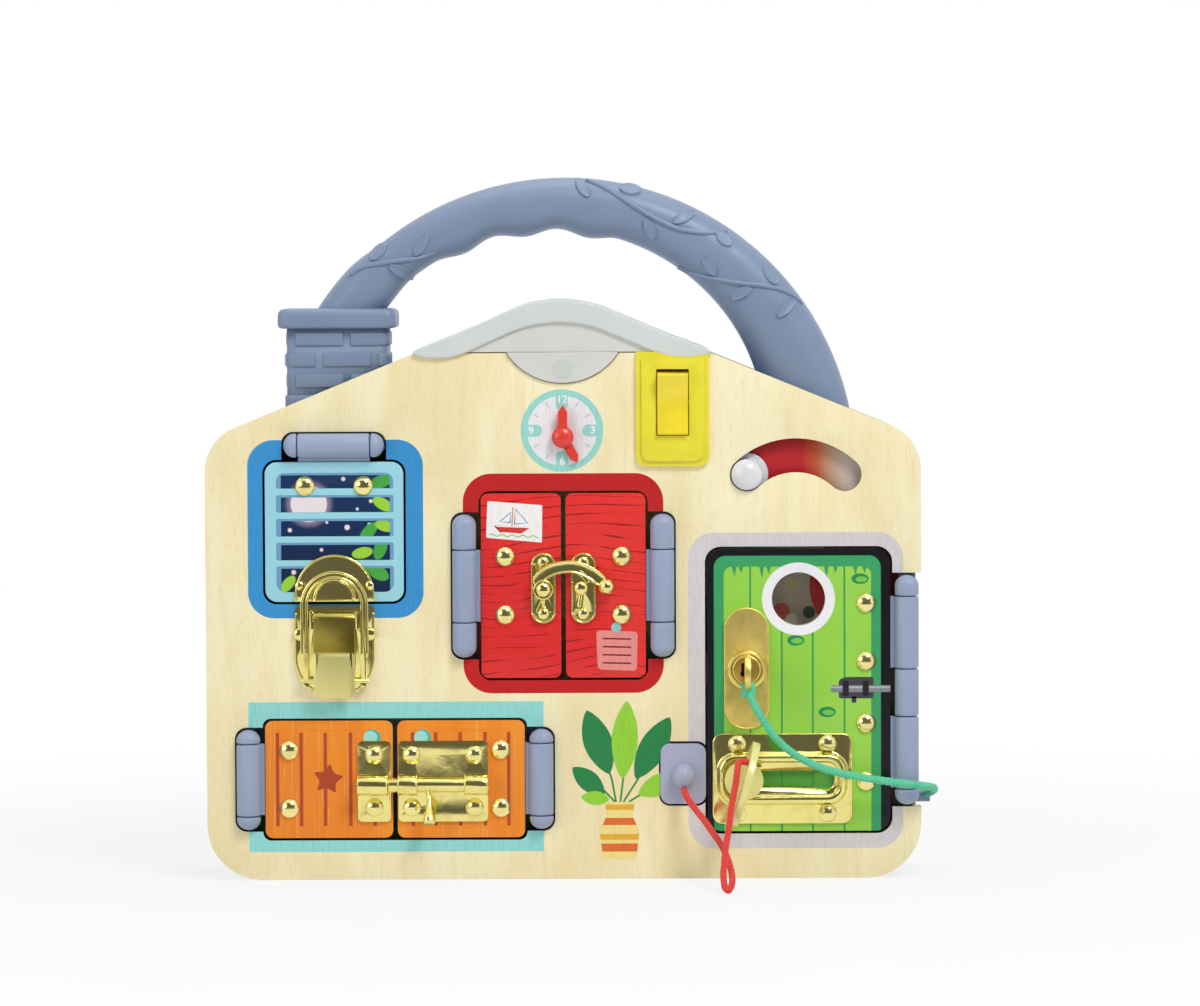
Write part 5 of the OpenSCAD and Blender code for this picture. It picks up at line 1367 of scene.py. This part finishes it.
def makeLockTrim():
    # two raised rings round the plug, open in the middle, and the rim of the escutcheon
    points, faces = lathe(spot(lock["x"], 1.2, lock["z"]), forward, lock["rings"], 64)
    addShape("lockRings", "main_door", [(points, faces[:-2])], satinBrass, "brass")
    outline = [(lock["x"] + x, lock["plateZ"] + z) for x, z in roundBox(*lock["plate"])]
    addShape("escutcheonRim", "main_door", [bead(outline, 1.12, 0.38, True)], satinBrass, "brass")


makeLockTrim()

bolt = {"z": 40.2, "out": 4.6, "radius": 4.3, "roll": 0.32,
        "rolls": {"gate_left": (-86.4, -74.2), "gate_right": (-69.4, -61.8, -41.4, -32.2)}}


def makeBoltTrim():
    # rolled edges of the two guides and of the keeper
    for body, places in bolt["rolls"].items():
        parts = []
        for x in places:
            bow = [spot(x, bolt["out"] + side, up)
                   for up, side in arcPoints(bolt["z"], 0, bolt["radius"], -12, 192, 34)]
            parts.append(tube(smoothLine(bow, 0.7 * mm), bolt["roll"] * mm))
        addShape(body + "Rolls", body, parts, brass, "brass")


makeBoltTrim()


def islands(node):
    # the separate solids of a node, as lists of points
    mesh = bmesh.new()
    mesh.from_mesh(nodes[node].data)
    bmesh.ops.remove_doubles(mesh, verts=mesh.verts, dist=0.002 * mm)
    left = set(mesh.verts)
    found = []
    while left:
        wave = [left.pop()]
        group = []
        while wave:
            vert = wave.pop()
            group.append(vert.co.copy())
            for edge in vert.link_edges:
                other = edge.other_vert(vert)
                if other in left:
                    left.remove(other)
                    wave.append(other)
        found.append(group)
    mesh.free()
    return sorted(found, key=lambda group: [round(min(p[i] for p in group), 4) for i in (0, 2)])


screwHead = {"high": 0.56, "edge": 52, "roll": 0.1, "rollHigh": 0.45}


def makeScrewHeads(node, body):
    # low domed heads with a small rolled edge, each in the place of its screw
    inset, start = screwHead["roll"], screwHead["rollHigh"]
    parts = []
    for group in islands(node):
        x, z = [(min(p[i] for p in group) + max(p[i] for p in group)) / 2 for i in (0, 2)]
        reach = [(math.hypot(p.x - x, p.z - z), p.y) for p in group]
        radius = max(r for r, y in reach)
        base = min(y for r, y in reach if r > radius * 0.97)
        back = max(y for r, y in reach)
        shank = max(r for r, y in reach if y > back - 0.1 * mm) / mm
        deep, r = (back - base) / mm, radius / mm
        high, edge = r * screwHead["high"], math.radians(screwHead["edge"])
        profile = [(0, -deep), (shank, -deep), (shank, 0), (r - 0.15, 0), (r, 0.12), (r - 0.02, 0.32),
                   (r - inset, start)]
        for k in range(1, 13):
            a = edge * (1 - k / 12)
            share = (math.cos(a) - math.cos(edge)) / (1 - math.cos(edge))
            profile.append(((r - inset) * math.sin(a) / math.sin(edge), start + (high - start) * share))
        parts.append(lathe(Vector((x, base, z)), forward, profile, 40))
    addShape(node + "Heads", body, parts, screwBrass, "brass", node)


for node, body in (("window_fasteners", "window"), ("red_left_fasteners", "red_left"),
                   ("red_right_fasteners", "red_right"), ("gate_left_fasteners", "gate_left"),
                   ("gate_right_fasteners", "gate_right"), ("main_fasteners", "main_door")):
    makeScrewHeads(node, body)
print("brass trim made")


# finishes and soft edges, in millimetres, of the pieces that keep their own shape
redPly, redPlyRight = doorPaint("redDoorPly", redDrawing), doorPaint("redDoorPlyRight", redDrawing)
gatePly, gatePlyRight = doorPaint("gateLeftPly", gateDrawing), doorPaint("gateRightPly", gateDrawing)
dressing = {
    "front_panel": (panelPaint(), 0.28), "back_panel": (plainPly("backPly"), 0.3),
    "picture_board": (picturePaint(), 0.2), "core_frame": (shell, 0.7), "lamp_board": (circuit, 0.15),
    "battery_box": (blackPlastic, 0.4), "battery_door": (shell, 0.4), "batteries": (cellJacket, 0.3),
    "board_fasteners": (steel, 0.12), "switch_plate": (yellow, 0.7), "rocker": (deepYellow, 1.3),
    "clock_pin": (redPlastic, 0.5), "hour_hand": (redPlastic, 0.35), "minute_hand": (redPlastic, 0.35),
    "slider_track": (trackPaint(), 0.1), "slider_knob": (whitePlastic, 0.5), "hinge_pins": (steel, 0.3),
    "cord_block": (blockPlastic, 0.6),
    "window_flap": (doorPaint("windowFlapPly", flapDrawing), 0.3), "red_door_left": (redPly, 0.3),
    "red_door_right": (redPlyRight, 0.3), "gate_left": (gatePly, 0.3), "gate_right": (gatePlyRight, 0.3),
    "main_door": (doorPaint("mainDoorPly", mainDrawing), 0.3), "catch_plate": (brass, 0.25),
    "latch_base": (brass, 0.22), "latch_lever": (leverPaint(), 0.25), "latch_loop": (brass, 0.25),
    "hook_plate": (brass, 0.25), "post_plate": (brass, 0.25), "keeper": (brass, 0.22),
    "bolt_plate": (brass, 0.22), "bolt_rod": (brass, 0.3), "escutcheon": (satinBrass, 0.25),
    "lock_body": (brass, 0.25), "lock_plug": (plugPaint(), 0.2), "key": (satinBrass, 0.3),
    "lock_bolt": (darkBrass, 0.3), "chain_knob": (coinYellow, 0.5),
}
for node, (material, width) in dressing.items():
    piece = nodes[node]
    piece.data.materials.clear()
    piece.data.materials.append(material)
    weld = piece.modifiers.new("joinPoints", "WELD")
    weld.merge_threshold = 0.002 * mm
    addBevel(piece, width)
print("CAD pieces dressed")


# thin prints that lie on the faces
pens = {
    "white": rgb(250, 250, 250), "tick": rgb(196, 200, 208), "leafDark": rgb(46, 138, 78),
    "leaf": rgb(154, 218, 66), "stem": rgb(60, 150, 76),
    "vase": rgb(250, 230, 146), "vaseBand": rgb(232, 116, 54), "vaseLine": rgb(238, 182, 62),
    "paper": rgb(250, 247, 246), "sail": rgb(66, 124, 196), "hull": rgb(222, 62, 60),
    "mast": rgb(238, 150, 52), "wave": rgb(150, 196, 60), "note": rgb(238, 148, 142),
    "noteLine": rgb(120, 34, 38), "pin": rgb(150, 206, 206), "star": rgb(182, 76, 44),
    "mint": rgb(166, 230, 221), "teal": rgb(64, 194, 174), "knot": rgb(40, 148, 92),
    "knotHeart": rgb(126, 206, 84), "drip": rgb(62, 165, 104), "plate": rgb(72, 72, 76),
    "clamp": rgb(40, 40, 44), "rod": rgb(138, 140, 148), "shine": rgb(186, 190, 200),
}
inks = {key: inkPaint("ink" + key[0].upper() + key[1:], tone) for key, tone in pens.items()}


def softCorners(points, r):
    # the outline with each corner drawn as a small curve
    out = []
    for i, (x, z) in enumerate(points):
        ends = []
        for px, pz in (points[i - 1], points[(i + 1) % len(points)]):
            size = math.hypot(px - x, pz - z)
            ends.append((x + (px - x) / size * r, z + (pz - z) / size * r))
        for k in range(7):
            t = k / 6
            out.append(tuple((1 - t) ** 2 * a + 2 * t * (1 - t) * b + t * t * c
                             for a, b, c in zip(ends[0], (x, z), ends[1])))
    return out


def leafShape(x0, z0, x1, z1, width):
    # a pointed oval from base to tip
    size = math.hypot(x1 - x0, z1 - z0)
    ux, uz = (x1 - x0) / size, (z1 - z0) / size
    left, right = [], []
    for i in range(21):
        s = i / 20
        half = width / 2 * math.sin(math.pi * s) ** 0.75
        left.append((x0 + ux * size * s - uz * half, z0 + uz * size * s + ux * half))
        right.append((x0 + ux * size * s + uz * half, z0 + uz * size * s - ux * half))
    return left + right[-2:0:-1]


def numeral(text, x, z, size, out):
    data = bpy.data.curves.new("numeral" + text, "FONT")
    data.body = text
    data.size = size
    data.align_x = "CENTER"
    data.align_y = "CENTER"
    data.offset = 0.09
    mesh = meshOf(data)
    mesh.transform(stoodUp(x, out, z))
    return mesh


def ink(shapes, colour, out=0.05):
    # a flat print this far out of the board
    return flatMesh("print", shapes, out), inks[colour]


dial = {"numerals": (("12", 0, 1), ("3", 1, 0), ("6", 0, -1), ("9", -1, 0)), "size": 4.5,
        "ticks": (1, 2, 4, 5, 7, 8, 10, 11), "inner": 11.2, "outer": 13.6, "half": 0.24}


def makeDial():
    cx, cz = boardPrint["face"][:2]
    at, half = boardPrint["tabAt"], dial["half"]
    made = [(numeral(text, cx + x * at, cz + z * at, dial["size"], 0.06), inks["white"])
            for text, x, z in dial["numerals"]]
    ticks = []
    for k in dial["ticks"]:
        sx, sz = math.sin(math.radians(k * 30)), math.cos(math.radians(k * 30))
        ticks.append([(cx + sx * r - sz * side, cz + sz * r + sx * side) for r, side in (
            (dial["inner"], half), (dial["outer"], half), (dial["outer"], -half), (dial["inner"], -half))])
    joinPrints("dialPrint", "board", "printed_board", made + [ink(ticks, "tick")])


makeDial()

plant = {
    "stems": [[(22, 31), (20, 42), (15, 56)], [(23.4, 31), (25, 44), (25.4, 58)],
              [(24, 31), (31, 42), (39, 54)], [(22.6, 31), (16, 38), (11, 43)],
              [(25, 31), (33, 36), (40, 38)]],
    "darkLeaves": [  # base, tip, width
        (19, 44, 9.5, 71, 12), (30, 42, 44.5, 68, 11.5), (17, 35.5, 3.5, 47, 8.5)],
    "leaves": [(24.5, 42, 26.5, 75, 11), (31, 35.5, 48.5, 43.5, 9), (19, 33.5, 7, 34.5, 6)],
    "vase": [(16.2, 8.3), (30.2, 8.3), (31.6, 20), (28.6, 26.5), (29.4, 32.4), (17, 32.4), (17.8, 26.5),
             (14.8, 20)],
    "bands": [[(15.9, 11.4), (30.5, 11.4), (30.9, 14.8), (15.5, 14.8)],
              [(16, 22.6), (30.4, 22.6), (29, 25.6), (17.4, 25.6)]],
    "lines": [[(15.3, 16.4), (31.1, 16.4), (31.4, 18.8), (15, 18.8)],
              [(17.4, 29), (29, 29), (29.3, 31.2), (17.1, 31.2)]],
}


def makePlant():
    # a potted plant between the gates and the main door
    joinPrints("plantPrint", "board", "printed_board", [
        ink(strokes(plant["stems"], 0.8), "stem"),
        ink([leafShape(*leaf) for leaf in plant["darkLeaves"]], "leafDark", 0.06),
        ink([leafShape(*leaf) for leaf in plant["leaves"]], "leaf", 0.07),
        ink([softCorners(plant["vase"], 1.6)], "vase", 0.08), ink(plant["bands"], "vaseBand", 0.1),
        ink(plant["lines"], "vaseLine", 0.1)])


makePlant()

notes = {
    "paper": [(-31.7, 159.1), (-8.7, 157.3), (-8.9, 141.6), (-32.3, 143.7)],
    "hull": [(-28.6, 148.6), (-26, 145.8), (-17.4, 145.2), (-14, 148), (-28.6, 148.6)],
    "mast": [(-21.4, 148.6), (-21, 156.4)],
    "sails": [[(-20.4, 149.4), (-20, 155.8), (-14.8, 149.8), (-20.4, 149.4)],
              [(-22.2, 150), (-21.8, 154.4), (-26.6, 150.4), (-22.2, 150)]],
    "wave": [(-31 + i * 0.9, 144.9 - i * 0.04 + 0.45 * math.sin(i * 1.3)) for i in range(24)],
    "card": [(13.7, 104.7), (31.1, 104.0), (30.7, 87.5), (14.3, 88.2)],
    "rows": [[(16.4, z), (28.3, z - 0.3)] for z in (101.2, 97.8, 94.4, 91)], "pin": (22.1, 105.8, 2.1, 2.1),
}


def makeNotes():
    # a boat on a paper and a lined card, one on each red door
    joinPrints("leftNote", "red_left", "printed_red", [
        ink([softCorners(notes["paper"], 0.6)], "paper"), ink(strokes([notes["hull"]], 0.55), "hull", 0.08),
        ink(strokes([notes["mast"]], 0.5), "mast", 0.08), ink(strokes(notes["sails"], 0.45), "sail", 0.08),
        ink(strokes([notes["wave"]], 0.4), "wave", 0.09)])
    joinPrints("rightNote", "red_right", "printed_red", [
        ink([softCorners(notes["card"], 2)], "note"), ink(strokes(notes["rows"], 0.6), "noteLine", 0.08),
        ink([oval(*notes["pin"])], "pin", 0.1)])


makeNotes()

gateMarks = {"star": (-99.2, 42.4), "reach": (6.8, 3.5), "turn": 8, "round": 1.2, "left": -80.6,
             "right": -59.4, "dotZ": 59.8, "dot": 3.5, "pale": 2.9, "aside": 0.7}


def makeGateMarks():
    # a dot on each gate and a star on the left one
    g = gateMarks
    cx, cz = g["star"]
    turns = [math.radians(36 * k + g["turn"]) for k in range(10)]
    star = [(cx + g["reach"][k % 2] * math.sin(a), cz + g["reach"][k % 2] * math.cos(a))
            for k, a in enumerate(turns)]
    more = [ink([softCorners(star, g["round"])], "star")]
    for name, body, x, extra in (("gateMarksLeft", "gate_left", g["left"], more),
                                 ("gateMarksRight", "gate_right", g["right"], [])):
        joinPrints(name, body, "printed_orange", [
            ink([oval(x, g["dotZ"], g["dot"], g["dot"])], "teal"),
            ink([oval(x - g["aside"], g["dotZ"], g["pale"], g["pale"])], "mint", 0.07)] + extra)


makeGateMarks()

doorMarks = {
    "edge": 131.1,
    "drips": ((71.6, 4.2), (74.4, 2.6), (83.1, 5), (86, 3), (110.2, 4.6), (114, 2.8), (122.4, 4),
              (126.2, 3)),
    "knots": [(97.4, 100.1), (124.4, 125.9), (110.5, 69.9)],
    "plate": [(115.4, 75.6), (115.4, 83.4), (118, 84.6), (130, 84.6), (130, 75.6)],
    "tab": [(120.8, 73.8), (120.8, 76.4), (122.8, 76.4), (122.8, 73.8)],
    "rod": [(112.1, 78.2), (137, 78.2), (137, 81.1), (112.1, 81.1)],
    "shine": [(112.1, 79.9), (137, 79.9), (137, 80.6), (112.1, 80.6)],
    "clamps": [[(x, 76.6), (x, 83), (x + 2.6, 83), (x + 2.6, 76.6)] for x in (117, 125.4)],
}


def makeDoorMarks():
    # drips and knots of the tall door and its drawn bolt
    d = doorMarks
    drips = [[(x - 1, d["edge"]), (x + 1, d["edge"]), (x + 0.2, d["edge"] - drop)] for x, drop in d["drips"]]
    joinPrints("mainDoorPrint", "main_door", "printed_green", [
        ink(drips, "drip"), ink([oval(x, z, 3.6, 2.2, 28) for x, z in d["knots"]], "knot"),
        ink([oval(x + 0.5, z - 0.2, 2.4, 1.2, 28) for x, z in d["knots"]], "knotHeart", 0.08),
        ink([softCorners(d["plate"], 1.2)], "plate"), ink([softCorners(d["tab"], 0.4)], "plate"),
        ink([d["rod"]], "rod", 0.08), ink([d["shine"]], "shine", 0.09),
        ink([softCorners(clamp, 0.7) for clamp in d["clamps"]], "clamp", 0.11)])


makeDoorMarks()
print("prints laid")


# floor, dark card in front, world light and lamps
studio = {
    "floor": 3.0, "floorInk": rgb(232, 232, 232), "floorPale": rgb(236, 236, 236), "near": 150, "far": 620,
    "world": 0.36,
    "card": [(-0.5, 0.004), (-1.5, 0.004), (-1.62, 0.2), (-1.6, 0.9), (-1.2, 1.5)], "cardTone": 0.13,
    "lamps": [  # name, place, size, power, aim
        ("keyLamp", (0.55, -0.9, 1.25), 0.6, 11.5, (0, 0, 0.15)),
        ("fillLamp", (-1.2, -1.1, 0.6), 1.0, 5.0, (0, 0, 0.15)),
        ("topLamp", (0.0, 0.3, 1.6), 1.0, 5.0, (0, 0, 0.1)),
    ],
}


def whiteRays(paint):
    # one for the rays that look at a thing, directly, in a shine or through clear plastic
    camera, glossy, clear = [paint.node("ShaderNodeLightPath", out=i) for i in (0, 3, 6)]
    return camera.high(glossy).high(clear)


def makeFloor():
    paint = Paint("floorPaint", Roughness=0.8)
    x, y, z = paint.axes()
    away = (x ** 2 + y ** 2) ** 0.5
    grain = paint.cloud(0.02, 2, 0.5)
    paint.use(Base_Color=paint.mix(paint.step(grain, 0.3, 0.7), studio["floorInk"], studio["floorPale"]))
    lift = whiteRays(paint) * paint.step(away, studio["near"], studio["far"], 0.8, 1.0)
    glow = paint.tree.nodes.new("ShaderNodeEmission")
    both = paint.tree.nodes.new("ShaderNodeMixShader")
    paint.tree.links.new(lift.socket, both.inputs[0])
    paint.tree.links.new(paint.shader.outputs[0], both.inputs[1])
    paint.tree.links.new(glow.outputs[0], both.inputs[2])
    paint.tree.links.new(both.outputs[0], paint.tree.nodes["Material Output"].inputs[0])
    size = studio["floor"]
    mesh = bpy.data.meshes.new("floor")
    corners = [(-size, -size, 0), (size, -size, 0), (size, size, 0), (-size, size, 0)]
    mesh.from_pydata(corners, [], [(0, 1, 2, 3)])
    floor = addPiece("floor", None, mesh, paint.material)
    floor.location.z = -0.0002


def makeCard():
    # a dark card in front of the board, seen only in the shine of metal and plastic
    paint = bpy.data.materials.new("cardPaint")
    paint.use_nodes = True
    glow = paint.node_tree.nodes.new("ShaderNodeEmission")
    glow.inputs["Strength"].default_value = studio["cardTone"]
    paint.node_tree.links.new(glow.outputs[0], paint.node_tree.nodes["Material Output"].inputs[0])
    line = studio["card"]
    points = [(x, y, z) for y, z in line for x in (-1.6, 1.6)]
    faces = [(2 * i, 2 * i + 1, 2 * i + 3, 2 * i + 2) for i in range(len(line) - 1)]
    mesh = bpy.data.meshes.new("card")
    mesh.from_pydata(points, [], faces)
    card = addPiece("card", None, mesh, paint)
    card.visible_camera = False
    card.visible_diffuse = False
    card.visible_shadow = False
    card.visible_transmission = False


def makeLight():
    world = bpy.data.worlds.new("studioWorld")
    world.use_nodes = True
    bpy.context.scene.world = world
    tree = world.node_tree
    path = tree.nodes.new("ShaderNodeLightPath")
    lift = tree.nodes.new("ShaderNodeMapRange")
    lift.inputs[3].default_value = studio["world"]
    total = path.outputs["Is Camera Ray"]
    for ray in ("Is Glossy Ray", "Is Transmission Ray"):
        either = tree.nodes.new("ShaderNodeMath")
        either.operation = "MAXIMUM"
        tree.links.new(total, either.inputs[0])
        tree.links.new(path.outputs[ray], either.inputs[1])
        total = either.outputs[0]
    tree.links.new(total, lift.inputs[0])
    tree.links.new(lift.outputs[0], tree.nodes["Background"].inputs["Strength"])
    tree.nodes["Background"].inputs["Color"].default_value = (1, 1, 1, 1)
    for name, place, size, power, aim in studio["lamps"]:
        data = bpy.data.lights.new(name, "AREA")
        data.shape = "DISK"
        data.size = size
        data.energy = power
        light = bpy.data.objects.new(name, data)
        light.location = place
        light.rotation_mode = "QUATERNION"
        light.rotation_quaternion = (Vector(aim) - Vector(place)).to_track_quat("-Z", "Y")
        bpy.context.scene.collection.objects.link(light)


makeFloor()
makeCard()
makeLight()
bpy.context.scene.view_settings.view_transform = "Standard"
print("stage set")
